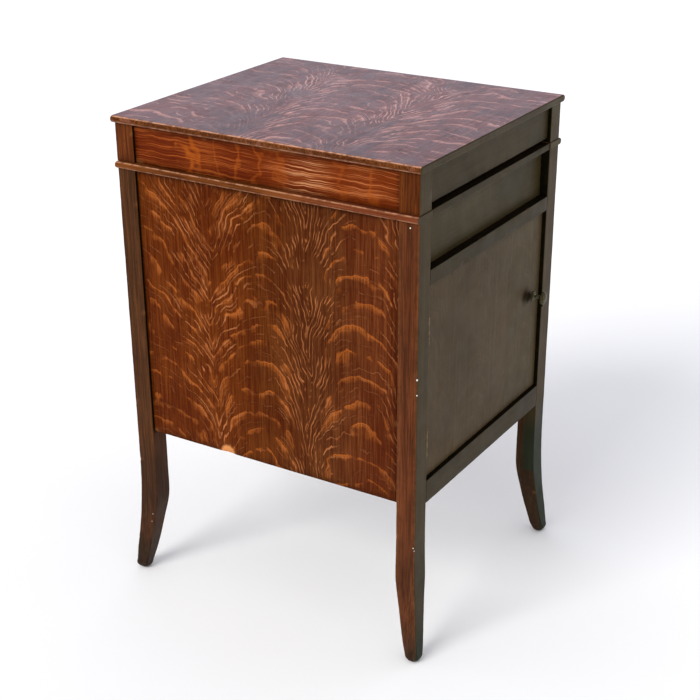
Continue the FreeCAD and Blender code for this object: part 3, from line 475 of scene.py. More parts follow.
def oak(name, g, a, trunks=(), vdir=1.0, seed=0.0, dark=DARK, mid=MID, light=LIGHT, fleck=FLECK, pale=PALE, amount=1.0, thick=1.0,
        thin=1.0, space=47.0, rough=0.42, spec=0.17, stint=(1.0, 0.42, 0.12), wave=1.0, edge=(0.30, 0.115, 0.038),
        edge_amt=0.45, rimdark=0.75, specks=(), stains=(), streak=1.0, hue=None, rayrag=1.0, bands=(), ripple=0.0,
        painted_glint=None, fspec=0.08, bold=1.0, kmod=None, fs=1.0, fl_len=1.0, wob=26.0, ftint=(1.0, 1.0, 1.0), rag_mm=6.0,
        between=0.5, nose=None, patch=0.8, ring_mm=6.5, hue_front=1.0):
    """Quarter-sawn oak. g is the axis of the grain, a the axis across the board's face. The rays show as flecks on the
    level lines of a height field that plunges at each trunk (position across, slope, reach, lean, broad drop, its reach)."""
    b = B(name)
    ax = {"x": b.X, "y": b.Y, "z": b.Z}
    G, A = ax[g], ax[a]
    N = ax[[k for k in "xyz" if k not in (g, a)][0]]
    so = (seed * 131.7, seed * 57.3, seed * 91.1)
    Ps = b.offset(so)
    w1 = b.noise(Ps, 1 / 95.0, 1.0, colour=True)
    w2 = b.noise(Ps, 1 / 24.0, 1.0, colour=True)
    front, recess_shade = b.attr("front"), b.attr("recess_shade")
    ar, nk, rm = b.attr("arris"), b.attr("nick"), b.attr("rim_shade")
    # fine grain, pores and the slow change of tone along and across the board
    Ar = A + (w2[1] * (ripple * 6.0) + w1[2] * (ripple * 14.0)) if ripple else A
    Nr = N
    t1 = b.noise(Ps, 1 / 130.0, 2.0)
    ring = b.noise(b.vec(Ar / ring_mm + so[1], G / 420.0, Nr / ring_mm), 1.0, 2.0, 0.6)
    fine = b.noise(b.vec(Ar / (1.9 * fs), G / (70.0 * fl_len) + so[0], Nr / (1.9 * fs)), 1.0, 1.5, 0.6)
    pore = b.noise(b.vec(Ar / 1.0, G / 16.0, Nr / 1.0), 1.0, 1.0)
    fl = None
    if amount > 0:
        rag = b.noise(b.vec(A / 2.6 + so[0], G / 75.0, N / 2.6), 1.0, 1.0) - 0.5
        Aw = A + w1[0] * (34.0 * wave) + w2[0] * (10.0 * wave)
        Gw = G + w1[1] * (84.0 * wave) + w2[1] * (20.0 * wave) + rag * (rag_mm * rayrag)
        F, D = Gw * vdir, None
        km = b.step(G, kmod[0] - kmod[1], kmod[0] + kmod[1], 1.0 - kmod[2], 1.0 + kmod[2]) if kmod else 1.0
        for t, sl, e, lean, K2, w_ in trunks:
            u = Aw - (G * lean + t)
            rt = (u * u + 4.0).sqrt()
            ex = b.math("EXPONENT", rt * (-1.0 / e)) * sl
            gs = b.math("EXPONENT", u * u * (-1.0 / (w_ * w_))) * K2 * km
            F = F + gs + ex * e
            dd = ex * u / rt + gs * u * (2.0 / (w_ * w_))
            D = dd if D is None else D + dd
        grad = (D * D + 1.0).sqrt() if D is not None else None

        def dist(ph, sp):
            d = ((F / sp + ph).fract() - 0.5) * sp
            return d / grad if grad is not None else d

        m1 = b.noise(Ps, 1 / 62.0, 2.0)
        m2 = b.noise(b.offset((so[0] + 400.0, so[1], so[2] + 77.0)), 1 / 44.0, 2.0)
        m3 = b.noise(b.offset((so[0], so[1] + 300.0, so[2])), 1 / 17.0, 1.0)
        m4 = b.noise(b.offset((so[0] + 90.0, so[1] + 210.0, so[2] + 31.0)), 1 / 27.0, 1.0)
        da, db, dt = dist(0.0, space * 0.5), dist(0.37, space * 0.29), dist(0.18, space)

        def lim(w, sp, k):                  # lines thin out where they crowd together
            return (k * sp / grad).min(w) if grad is not None else w

        fa = b.step(da.abs(), lim(m3 * 1.3 + 0.9, space * 0.5, 0.22), lim(m3 * 0.8 + 0.1, space * 0.5, 0.05)) \
            * b.step(m1, 0.42, 0.52) * b.step(m3, 0.36, 0.50) * b.step(m4, 0.30, 0.62, 0.45, 1.0)
        fb = b.step(db.abs(), lim(1.25, space * 0.29, 0.22), lim(0.30, space * 0.29, 0.05)) * b.step(m2, 0.46, 0.57) \
            * b.step(m4, 0.40, 0.53) * 0.45
        if grad is not None:                # close to a steep trunk the lines stand upright and farther apart
            dc = dist(0.55, space * 0.9)
            fc = b.step(dc.abs(), lim(m3 * 1.0 + 0.8, space * 0.9, 0.16), lim(m3 * 0.7 + 0.1, space * 0.9, 0.04)) \
                * b.step(m1, 0.40, 0.50) * b.step(m4, 0.36, 0.52) * b.step(m3, 0.30, 0.60, 0.5, 1.0)
            fa = fa * b.step(grad, 5.0, 3.8)
            fa = fa.max(fc * b.step(grad, 3.4, 4.4))
            fa = fa * b.step(grad, 1.05, 1.9, between, 1.0)
            fb = fb * b.step(grad, 3.2, 2.0) * b.step(grad, 1.05, 1.6, between * 0.8, 1.0)
        # broad brushed flecks: a crisp upper edge, fading downwards into the grain
        hgt = b.step(m2, 0.42, 0.62, 6.0, 17.0)
        prof = b.step(dt, 1.6, -0.6) * b.step(dt, hgt * -1.0, hgt * -0.12)
        lin = b.step(dt.abs(), 1.9, 0.5)
        ft = (prof * b.step(fine, 0.36, 0.62, 0.30, 1.0) * 0.72).max(lin * 0.90) * b.step(m4, 0.37, 0.48) \
            * b.step(m2, 0.38, 0.47)
        if grad is not None:
            ft = ft * b.step(grad, 3.4, 1.5)
        pt = b.step(t1, 0.38, 0.56, patch, 1.0)
        fp = (fa.max(fb) * pt * (thin * amount)).clamp()
        fl = (ft * pt * (thick * amount)).clamp()
        halo = b.step(da.abs(), 5.5, 1.5) * b.step(m1, 0.40, 0.52)
    for t, wdt, amt in bands:               # broad bands of ray across the board, wavering as they go
        d = (G + w1[1] * 30.0 + w2[1] * wob + (w2[2] + w1[0]) * wob * 0.6 - t).abs()
        bf = b.step(d, wdt, wdt * 0.20) * b.step(fine, 0.30, 0.62, 0.45, 1.0) * amt
        fl = bf if fl is None else fl.max(bf)
    tone = (t1 - 0.5) * 1.3 + (ring - 0.5) * (0.95 * streak) + (fine - 0.5) * (1.55 * streak) + 0.46
    tone = tone - front * ((fine - 0.5) * (0.9 * streak))
    if nose is not None:                    # the moulded edge has a redder finish than the face, whose colours hold a painted purple reflection of the sky
        nf = b.attr("nose")
        dark, mid, light = (b.mix(nf, p, q) for p, q in zip((dark, mid, light), nose))
    # the front mask swaps in the front colours, which are painted shade
    c_d, c_m, c_l = (b.mix(front, p, q) for p, q in ((dark, tmul(FRONT_SHADE_DARK, ftint)), (mid, tmul(FRONT_SHADE_MID, ftint)), (light, tmul(FRONT_SHADE_LIGHT, ftint))))
    base = b.mix(b.step(tone, 0.10, 0.58), c_d, c_m)
    base = b.mix(b.step(tone, 0.50, 0.98), base, c_l)
    if hue is not None:                     # (axis, from, to, colour, amount): a slow change of colour along one axis
        for axis, h0, h1, colr, amt in hue:
            base = b.mix(b.step(ax[axis] + w1[2] * 90.0, h0, h1) * amt * (front * (hue_front - 1.0) + 1.0), base, colr, "MULTIPLY")
    col = base
    if fl is not None:
        if amount > 0:
            col = b.mix(halo * (0.30 * amount), col, (0.62, 0.54, 0.52), "MULTIPLY")
        fcol = b.mix(fine * 0.6 + t1 * 0.4, mul(fleck, 0.72), mul(fleck, 1.22))
        fcol = b.mix(front, fcol, tmul(FRONT_SHADE_FLECK, ftint))
        if nose is not None:
            fl = fl * (nf * -0.8 + 1.0)
        col = b.mix(fl * bold, col, fcol)
        if amount > 0:
            pcol = b.mix(front, b.mix(fine * 0.5 + t1 * 0.5, mul(pale, 0.70), mul(pale, 1.15)), tmul(FRONT_SHADE_FLECK, ftint))
            if nose is not None:
                fp = fp * (nf * -0.8 + 1.0)
            col = b.mix(fp * bold, col, pcol)
            fl = fl.max(fp)
    if painted_glint is not None:                   # painted glint: the grain is painted pale round one spot, standing in for a glint off raised grain
        (sx_, sy_, sz_), r0, r1, sc_ = painted_glint
        n = b.nt.nodes.new("ShaderNodeVectorMath")
        n.operation = "DISTANCE"
        b.put(n.inputs[0], b.P)
        n.inputs[1].default_value = (sx_, sy_, sz_)
        near = b.step(E(b, n.outputs["Value"]), r0, r1, 1.0, 0.0)
        col = b.mix(near * b.step(fine, 0.50, 0.66), col, sc_)
    pm = b.step(pore, 0.58, 0.72) * streak
    col = b.mix(pm * (0.45 - front * 0.3), col, (0.42, 0.36, 0.34), "MULTIPLY")
    # worn arrises (on the nosings also a painted highlight), knocks, painted shade against the neighbours and
    # near-black painted shade in the recesses
    en = b.noise(Ps, 1 / 11.0, 2.0)
    # painted shade along the rims (rim_shade), broken up a little by noise and weaker on the front
    dirt_and_shade = (rm * b.step(en, 0.30, 0.62, 0.7, 1.0) * rimdark * (front * -0.85 + 1.0)).clamp()
    col = b.mix(dirt_and_shade, col, b.mix(front, (0.20, 0.165, 0.14), (0.16, 0.165, 0.16)), "MULTIPLY")
    ecol = b.mix(front, edge, mul(FRONT_SHADE_FLECK, 1.05))
    col = b.mix((ar * b.step(en, 0.36, 0.60, 0.35, 1.0) * edge_amt * (front * -0.80 + 1.0)).clamp(), col, ecol)
    col = b.mix((nk * (front * -0.4 + 0.55)).clamp(), col, (0.34, 0.135, 0.045))
    wob = b.noise(Ps, 1 / 6.0, 2.0) * 6.0
    matt = recess_shade * 0.85
    for (px, py, pz), r0, r1, c, k in stains:
        n = b.nt.nodes.new("ShaderNodeVectorMath")
        n.operation = "DISTANCE"
        b.put(n.inputs[0], b.P)
        n.inputs[1].default_value = (px, py, pz)
        sm = b.step(E(b, n.outputs["Value"]) + wob - 3.0, r0, r1, k, 0.0)
        col = b.mix(sm, col, c)
        matt = matt.max(sm * 0.95)
    for p, r in specks:
        col = b.mix(b.near(p, r * 0.6, r), col, (0.75, 0.72, 0.62))
    # painted shade: the recess_shade mask turns ledges, undersides and return faces in the recesses near-black
    col = b.mix((recess_shade * b.step(en, 0.30, 0.65, 0.88, 1.0)).clamp(), col, RECESS_SHADE_COLOUR)
    b.put(b.bsdf.inputs["Base Color"], col)
    rg = b.noise(Ps, 1 / 33.0, 3.0)
    rough_ = (rg - 0.5) * 0.26 + rough + pm * 0.10 + ar * 0.06 + dirt_and_shade * 0.15 + recess_shade * 0.35
    if fl is not None:
        rough_ = rough_ - fl * 0.05
    b.put(b.bsdf.inputs["Roughness"], rough_)
    if nose is not None:
        spec = nf * (0.10 - spec) + spec
        stint = b.mix(nf, stint, (1.0, 0.42, 0.12))
    b.put(b.bsdf.inputs["Specular IOR Level"], (front * (spec * -1.0 + fspec) + spec) * (matt * -1.0 + 1.0))
    b.put(b.bsdf.inputs["Specular Tint"], b.mix(front, stint, (0.95, 0.90, 0.55)))
    h = fine * 0.5 - pm * 0.6 + ring * 0.35
    n1 = b.bump(h, 0.30, 0.00032)
    n2 = b.bump(b.noise(Ps, 1 / 70.0, 1.0), 0.30, 0.0022, n1)
    b.put(b.bsdf.inputs["Normal"], n2)
    return b.mat


def softwood(name, g="x", c0=SRGB(150, 112, 72), c1=SRGB(198, 160, 112), rough=0.62, seed=0.0, dirt_and_shade=0.5):
    b = B(name)
    ax = {"x": b.X, "y": b.Y, "z": b.Z}
    o = [k for k in "xyz" if k != g]
    G, A, N = ax[g], ax[o[0]], ax[o[1]]
    w = b.noise(b.P, 1 / 60.0, 1.0, colour=True)
    ringc = b.noise(b.vec((A + w[0] * 14.0) / 4.2 + seed, G / 260.0, (N + w[1] * 14.0) / 4.2), 1.0, 2.0, 0.6)
    ringf = b.step(((ringc * 5.0).fract() - 0.5).abs(), 0.12, 0.42)
    fine = b.noise(b.vec(A / 0.8, G / 50.0, N / 0.8), 1.0, 2.0)
    col = b.mix(ringf * 0.55 + (fine - 0.5) * 0.6 + 0.2, c1, c0)
    blot = b.noise(b.P, 1 / 45.0, 3.0)
    col = b.mix(b.step(blot, 0.50, 0.78, 0.0, dirt_and_shade), col, (0.42, 0.34, 0.26), "MULTIPLY")
    # painted shade along the rims (rim_shade)
    col = b.mix((b.attr("rim_shade") * 0.35).clamp(), col, (0.35, 0.28, 0.22), "MULTIPLY")
    col = b.mix((b.attr("arris") * 0.35).clamp(), col, SRGB(214, 182, 138))
    b.put(b.bsdf.inputs["Base Color"], col)
    b.put(b.bsdf.inputs["Roughness"], (blot - 0.5) * 0.25 + rough)
    b.put(b.bsdf.inputs["Normal"], b.bump(fine * 0.6 + ringf * 0.4, 0.3, 0.0004))
    return b.mat


def zinc(name, base=(0.36, 0.38, 0.39), rough=0.46, grime=0.5):
    b = B(name)
    w = b.noise(b.P, 1 / 30.0, 2.0, colour=True)
    v = b.vec(b.X + w[0] * 14.0, b.Y + w[1] * 14.0, b.Z + w[2] * 14.0)
    cell = b.voronoi(v, 1 / 16.0, out="Color")
    cell2 = b.voronoi(v, 1 / 6.0, out="Color")
    k = cell * 0.65 + cell2 * 0.35
    col = b.mix(k, tuple(c * 0.72 for c in base), tuple(min(1.0, c * 1.28) for c in base))
    bl = b.noise(b.P, 1 / 80.0, 4.0, 0.6)
    col = b.mix(b.step(bl, 0.48, 0.72, 0.0, grime), col, (0.205, 0.200, 0.180))
    wh = b.noise(b.offset((40.0, 90.0, 10.0)), 1 / 26.0, 4.0, 0.65)
    col = b.mix(b.step(wh, 0.60, 0.74, 0.0, 0.5), col, (0.56, 0.57, 0.56))
    b.put(b.bsdf.inputs["Base Color"], col)
    b.bsdf.inputs["Metallic"].default_value = 0.85
    b.put(b.bsdf.inputs["Roughness"], k * 0.16 + b.step(bl, 0.45, 0.75, 0.0, 0.22) + rough - 0.08)
    dent = b.noise(b.P, 1 / 120.0, 2.0)
    b.put(b.bsdf.inputs["Normal"], b.bump(dent * 1.0 + k * 0.01, 0.35, 0.006))
    return b.mat


def metal(name, c_dark, c_light, rough=0.38, scale=7.0, metallic=1.0, wear=0.5, neck=None):
    b = B(name)
    n1 = b.noise(b.P, 1 / scale, 4.0, 0.6)
    n2 = b.noise(b.P, 1 / (scale * 0.22), 3.0, 0.6)
    col = b.mix(b.step(n1 * 0.7 + n2 * 0.3, 0.50 - 0.2 * wear, 0.66), c_dark, c_light)
    col = b.mix(b.step(n2, 0.60, 0.75, 0.0, 0.6), col, tuple(c * 0.35 for c in c_dark))
    b.bsdf.inputs["Metallic"].default_value = metallic
    if neck is not None:                    # a neck rubbed dull and pale, by its distance from an axis along y; its paleness is partly a painted reflection of the light the shaft catches
        (nx_, nz_), r0, r1, (y0_, y1_), c_neck = neck
        u, w = b.X - nx_, b.Z - nz_
        nf = b.step((u * u + w * w).sqrt(), r0, r1, 1.0, 0.0)
        nf = nf * b.step(b.Y, y0_ - 0.6, y0_ + 0.6) * b.step(b.Y, y1_ - 0.6, y1_ + 0.6, 1.0, 0.0)
        col = b.mix(nf * b.step(n2, 0.30, 0.60, 0.55, 1.0), col, c_neck)
        b.put(b.bsdf.inputs["Metallic"], nf * -0.75 + metallic)
    b.put(b.bsdf.inputs["Base Color"], col)
    b.put(b.bsdf.inputs["Roughness"], (n1 - 0.5) * 0.5 + rough)
    b.put(b.bsdf.inputs["Normal"], b.bump(n2, 0.18, 0.0003))
    return b.mat


def cork(name):
    b = B(name)
    v = b.voronoi(b.P, 1 / 4.5, out="Color")
    d = b.voronoi(b.P, 1 / 4.5, feature="DISTANCE_TO_EDGE")
    n = b.noise(b.P, 1 / 2.0, 3.0)
    col = b.mix(v * 0.7 + n * 0.3, SRGB(120, 78, 46), SRGB(186, 138, 92))
    col = b.mix(b.step(d, 0.12, 0.0, 0.0, 0.75), col, SRGB(66, 40, 24))
    b.put(b.bsdf.inputs["Base Color"], col)
    b.put(b.bsdf.inputs["Roughness"], n * 0.1 + 0.82)
    b.put(b.bsdf.inputs["Normal"], b.bump(d * 0.4 + n * 0.3, 0.5, 0.0012))
    return b.mat


def felt(name, c0=SRGB(92, 86, 76), c1=SRGB(138, 130, 116)):
    b = B(name)
    n1 = b.noise(b.P, 1 / 1.3, 4.0, 0.7)
    n2 = b.noise(b.P, 1 / 14.0, 3.0)
    b.put(b.bsdf.inputs["Base Color"], b.mix(n1 * 0.6 + n2 * 0.4, c0, c1))
    b.put(b.bsdf.inputs["Roughness"], n2 * 0.1 + 0.86)
    b.bsdf.inputs["Sheen Weight"].default_value = 0.25
    b.put(b.bsdf.inputs["Normal"], b.bump(n1, 0.6, 0.0008))
    return b.mat


# ------------------------------------------------------------------ the oak of each place
T1, T2, T3 = 115 + YS, -84 + YS, -272 + YS
m_side_l = oak("oak_side_left", "z", "y",
               trunks=((T1, 3.1, 27.0, 0.0, 92.0, 84.0), (T2, 7.4, 26.0, 0.0, 40.0, 60.0),
                       (T3, 4.4, 20.0, 0.0, 20.0, 40.0)),
               kmod=(580.0, 250.0, 0.62), seed=1.0, spec=0.055, streak=1.3, between=0.34, patch=0.6,
               hue=(("y", 60.0, -150.0, (0.90, 1.12, 2.4), 1.0), ("y", 90.0, 10.0, (0.90, 1.0, 1.1), 1.0),
                    ("y", -120.0, -205.0, (1.22, 1.06, 1.10), 1.0)),
               stains=(((-258.0, 94 + YS, 309.0), 11.0, 17.0, (0.58, 0.23, 0.075), 1.0),))
m_side_r = oak("oak_side_right", "z", "y",
               trunks=((210 + YS, 3.2, 27.0, 0.0, 44.0, 60.0), (18 + YS, 4.2, 28.0, 0.0, 50.0, 60.0),
                       (-190 + YS, 3.2, 26.0, 0.0, 35.0, 50.0)),
               vdir=-1.0, seed=4.0, spec=0.08, streak=1.15, between=0.34)
POST_OAK = dict(amount=0.0, dark=(0.044, 0.0118, 0.0042), mid=(0.084, 0.0215, 0.0072), light=(0.122, 0.0340, 0.0110),
                streak=1.35, rimdark=0.6, edge_amt=0.40, ftint=(0.95, 0.89, 0.83))
TIP = ("z", 108.0, 12.0, (0.42, 0.74, 1.15), 1.0)
m_post = oak("oak_post", "z", "y", seed=2.0, hue=(("z", 330.0, 160.0, (0.78, 0.90, 1.10), 1.0), TIP),
             specks=(((-263.0, -286.3 + YS, 811.4), 1.5), ((-262.2, -302.6 + YS, 552.0), 2.1),
                     ((-262.2, -302.6 + YS, 524.0), 1.6), ((-263.8, -300.4 + YS, 230.0), 1.6),
                     ((-264.0, -302.6 + YS, 225.0), 1.6)), **POST_OAK)
POST_OAK["edge_amt"] = 0.05
m_post_b = oak("oak_post_back", "z", "y", seed=12.0, hue=(("z", 2000.0, 1900.0, (0.66, 0.84, 0.72), 1.0),
                                                         ("z", 330.0, 190.0, (0.76, 0.84, 1.18), 1.0), TIP),
               specks=(((-266.9, 277.8 + YS, 126.5), 0.95), ((-268.0, 280.4 + YS, 110.0), 0.9)), **POST_OAK)
# the right legs are darkened below the case: painted shade under the case
m_post_r = oak("oak_post_right_shaded", "z", "y", seed=13.0, hue=(("z", 330.0, 220.0, (0.36, 0.72, 1.0), 1.0),), **POST_OAK)
# the apron's painted_glint is a painted glint on its raised grain
m_apron = oak("oak_lid_side", "y", "z", seed=3.0, amount=0.0, ripple=0.8, rough=0.36, spec=0.10, streak=1.6, fs=0.80, ring_mm=4.6,
              fl_len=1.7, dark=(0.088, 0.0085, 0.0005), mid=(0.124, 0.0168, 0.0014), light=(0.270, 0.0580, 0.0095),
              fleck=(0.32, 0.068, 0.0070), wob=64.0,
              bands=((150 + YS, 15.0, 0.95), (92 + YS, 7.0, 0.45), (52 + YS, 10.0, 0.62), (10 + YS, 8.0, 0.60),
                     (-34 + YS, 9.0, 0.45), (-150 + YS, 8.0, 0.40), (-205 + YS, 12.0, 0.55)),
              hue=(("y", 120.0, -120.0, (1.34, 1.80, 3.3), 1.0),), hue_front=0.0,
              painted_glint=((-258.0, -88 + YS, 857.0), 4.0, 62.0, (0.56, 0.27, 0.125)))
m_stile = oak("oak_lid_stile", "z", "y", seed=6.0, amount=0.0, streak=1.25, spec=0.10, rimdark=0.5, dark=(0.052, 0.0130, 0.0040),
              mid=(0.100, 0.0225, 0.0044), light=(0.150, 0.0400, 0.0075))
# the waist boards' pale edge colour on the nosing's shoulder is a painted highlight as well as wear
m_waist = oak("oak_waist", "y", "x", seed=7.0, amount=0.0, rough=0.38, streak=1.0, rimdark=0.0, edge_amt=0.95, spec=0.08,
              dark=(0.066, 0.0155, 0.0035), mid=(0.122, 0.0330, 0.0062), light=(0.180, 0.0550, 0.0120),
              edge=(0.60, 0.300, 0.165), hue=(("y", 40.0, -220.0, (1.06, 0.92, 1.7), 1.0),), hue_front=0.0)
# the top's pale edge colour on the nosing's shoulder is a painted highlight as well as wear
m_top = oak("oak_top", "x", "y",
            trunks=((101 + YS, 3.8, 27.0, 0.22, 40.0, 50.0), (-123 + YS, 4.0, 27.0, 0.06, 40.0, 50.0)), seed=5.0,
            # the pink-purple in the top's pale, fleck and mid colours is partly a painted reflection of the sky
            amount=1.0, thin=1.0, spec=0.43, stint=(0.98, 0.745, 0.94), pale=(0.560, 0.255, 0.200), dark=(0.030, 0.0060, 0.0050), mid=(0.098, 0.0185, 0.0120),
            light=(0.138, 0.0360, 0.0220), fleck=(0.490, 0.205, 0.150), rough=0.36, streak=1.5, patch=0.25, edge=(0.70, 0.350, 0.205), edge_amt=1.0, rimdark=6.0,
            between=0.8, nose=((0.050, 0.0120, 0.0030), (0.098, 0.0270, 0.0060), (0.160, 0.0490, 0.0110)),
            thick=0.9, rayrag=0.6, stains=(((179.0, -153.0 + YS, 914.0), 4.0, 11.0, (0.028, 0.016, 0.018), 0.7),))
m_front_h = oak("oak_front_rails", "x", "z", seed=8.0, amount=0.5, space=90.0, thick=0.5, bold=0.5,
                ftint=(0.70, 0.70, 0.61))
m_front_panel = oak("oak_front_panel", "x", "z", seed=9.0, amount=0.5, space=70.0, thick=0.7, bold=0.5,
                    ftint=(0.88, 0.94, 0.92))
m_door = oak("oak_door", "z", "x",
             trunks=((-150.0, 3.4, 27.0, 0.0, 30.0, 50.0), (40.0, 4.0, 27.0, 0.0, 40.0, 50.0),
                     (215.0, 3.4, 27.0, 0.0, 30.0, 50.0)), seed=10.0, ftint=(1.16, 1.06, 1.04),
             hue=(("x", -20.0, 190.0, (1.02, 1.11, 1.13), 1.0),),
             # the two dark marks left of the knob are a painted shadow of the knob on the door
             amount=0.7, bold=0.5, stains=(((164.0, -296.5 + YS, 553.0), 3.0, 24.0, (0.016, 0.0095, 0.0040), 0.95),
                                 ((179.0, -296.5 + YS, 547.0), 6.0, 16.0, (0.010, 0.0065, 0.0025), 0.95)))
m_back = oak("oak_back", "z", "x", trunks=((-120.0, 3.4, 27.0, 0.0, 30.0, 50.0), (90.0, 3.4, 27.0, 0.0, 30.0, 50.0)), seed=11.0, amount=0.45,
             dark=(0.045, 0.0150, 0.0065), mid=(0.080, 0.0280, 0.0110), light=(0.115, 0.0440, 0.0180), fleck=(0.20, 0.085, 0.032),
             rough=0.55, bold=0.7)

m_soft_x = softwood("softwood_x", "x")
m_soft_y = softwood("softwood_y", "y", seed=3.0)
m_soft_z = softwood("softwood_z", "z", seed=5.0)
m_rack = softwood("softwood_rack", "x", SRGB(142, 108, 74), SRGB(190, 154, 112), 0.7, 7.0, 0.8)
m_zinc = zinc("zinc_sheet")
m_zinc_pan = zinc("zinc_pan", (0.30, 0.32, 0.33), 0.42, 0.7)
m_brass = metal("aged_brass", SRGB(72, 58, 36), SRGB(150, 122, 74), 0.36, 6.0)
m_brass_dark = metal("aged_brass_knob", SRGB(46, 41, 24), SRGB(106, 96, 62), 0.44, 4.0, 0.9, 0.5,
                     ((200.0, 541.0), 5.2, 6.6, (-311.5, -298.5), SRGB(104, 99, 70)))
m_steel = metal("dull_steel", SRGB(70, 66, 60), SRGB(140, 136, 128), 0.42, 3.0)
m_wire = metal("tinned_wire", SRGB(128, 126, 120), SRGB(198, 197, 190), 0.34, 9.0)
m_cork = cork("cork_slab")
m_felt = felt("wool_felt")

# ------------------------------------------------------------------ boards
def up(v, n):
    return (n[:, 2] > 0.85) * 1.0


def under(v, n):
    return (n[:, 2] < -0.85) * 1.0


board("side_panel_left", "case", m_side_l, 1.0, 9.0, seed=1, nicks=420.0,
      bumps=((-258.0, 94 + YS, 308.0, 12.0, 3.2), (-258.0, 88 + YS, 308.0, 6.0, 1.6), (-258.0, 262 + YS, 308.0, 5.0, 1.8)))
board("side_panel_right", "case", m_side_r, 1.0, 10.0, seed=2, nicks=420.0)
board("back_panel", "case", m_back, 1.0, 12.0, seed=3)
board("upper_front_panel", "case", m_front_panel, 0.8, 10.0, seed=4, nicks=0)
# recess_shade marks ledges, undersides and return faces that are painted near-black as shade
board("mid_rail", "case", m_front_h, 1.1, 9.0, seed=5, recess_shade=lambda v, n: up(v, n) * (v[:, 1] > -HD + 0.5) + under(v, n))
board("bottom_rail", "case", m_front_h, 1.2, 9.0, seed=6, recess_shade=lambda v, n: up(v, n) * (v[:, 1] > -HD + 0.5))
board("waist_rail_front", "case", m_front_h, 0.9, 9.0, seed=8,
      recess_shade=lambda v, n: up(v, n) * (v[:, 1] > -HD + 0.4) * np.clip((-HD + 30.0 - v[:, 1]) / 9.0, 0, 1))
board("lid_corner_stiles", "lid", m_stile, 1.1, 8.0, seed=9, nicks=200.0,
      recess_shade=lambda v, n: np.maximum((np.abs(v[:, 0]) < 226.4) * (np.abs(n[:, 0]) > 0.85) * (v[:, 1] > -HD + 0.6) * (v[:, 1] < 0),
                                  (v[:, 1] > 0) * (v[:, 1] < 267.0) * (n[:, 1] < -0.85) * (np.abs(v[:, 0]) < HW - 0.6)))
board("lid_side_aprons", "lid", m_apron, 0.9, 9.0, seed=10, und=0.25)
board("lid_apron_front", "lid", m_front_h, 1.0, 9.0, seed=11, recess_shade=under)


def outer_edge(z):
    zs = np.array([0, 0.6, 1.8, 3.4, 5.4, 7.8, 10.5, 13, 42, 78, 112, 145, 176, 210, 236, 260, 900.0])
    os_ = np.array([8.0, 9.77, 11.85, 13.59, 14.98, 15.92, 16.28, 16.0, 12.3, 8.2, 5.0, 2.8, 1.3, 0.35, 0.0, 0.0, 0.0])
    return hermite(zs, os_, z)


def inner_edge(z):
    zs = np.array([0, 0.6, 1.8, 3.4, 5.4, 7.8, 9.5, 15, 41, 80, 120, 137, 156, 173, 190, 210, 900.0])
    os_ = np.array([-2.0, -4.0, -6.09, -7.77, -9.05, -9.84, -10.1, -11.2, -16.6, -24.2, -31.4, -34.5, -37.0, -37.85,
                    -38.0, -38.0, -38.0])
    return hermite(zs, os_, z)


def hermite(xs, ys, x):
    h = np.diff(xs)
    s = np.diff(ys) / h
    m = np.zeros(len(xs))
    m[0], m[-1] = s[0], s[-1]
    for k in range(1, len(xs) - 1):
        m[k] = 0.0 if s[k - 1] * s[k] <= 0 else 2 * s[k - 1] * s[k] / (s[k - 1] + s[k])
    x = np.asarray(x, float)
    i = np.clip(np.searchsorted(xs, x, side="right") - 1, 0, len(xs) - 2)
    t = (x - xs[i]) / h[i]
    return ((2 * t ** 3 - 3 * t ** 2 + 1) * ys[i] + (t ** 3 - 2 * t ** 2 + t) * h[i] * m[i]
            + (-2 * t ** 3 + 3 * t ** 2) * ys[i + 1] + (t ** 3 - t ** 2) * h[i] * m[i + 1])


def recess(v, n):
    """The return faces of a post, in the shallow recesses beside the panels, which get near-black painted shade."""
    x, y = np.abs(v[:, 0]), v[:, 1] - YS
    high = np.clip((v[:, 2] - 306.0) / 4.0, 0, 1)
    a = (x < HW - POST + 1.0) * (np.abs(n[:, 0]) > 0.85) * (y < -HD + 30.0) * (y > -HD + 0.6)
    c = (np.abs(y) < HD - POST + 1.0) * (np.abs(n[:, 1]) > 0.85) * (x > HW - 14.0) * (x < HW - 0.6)
    return np.clip(a + c, 0, 1) * high


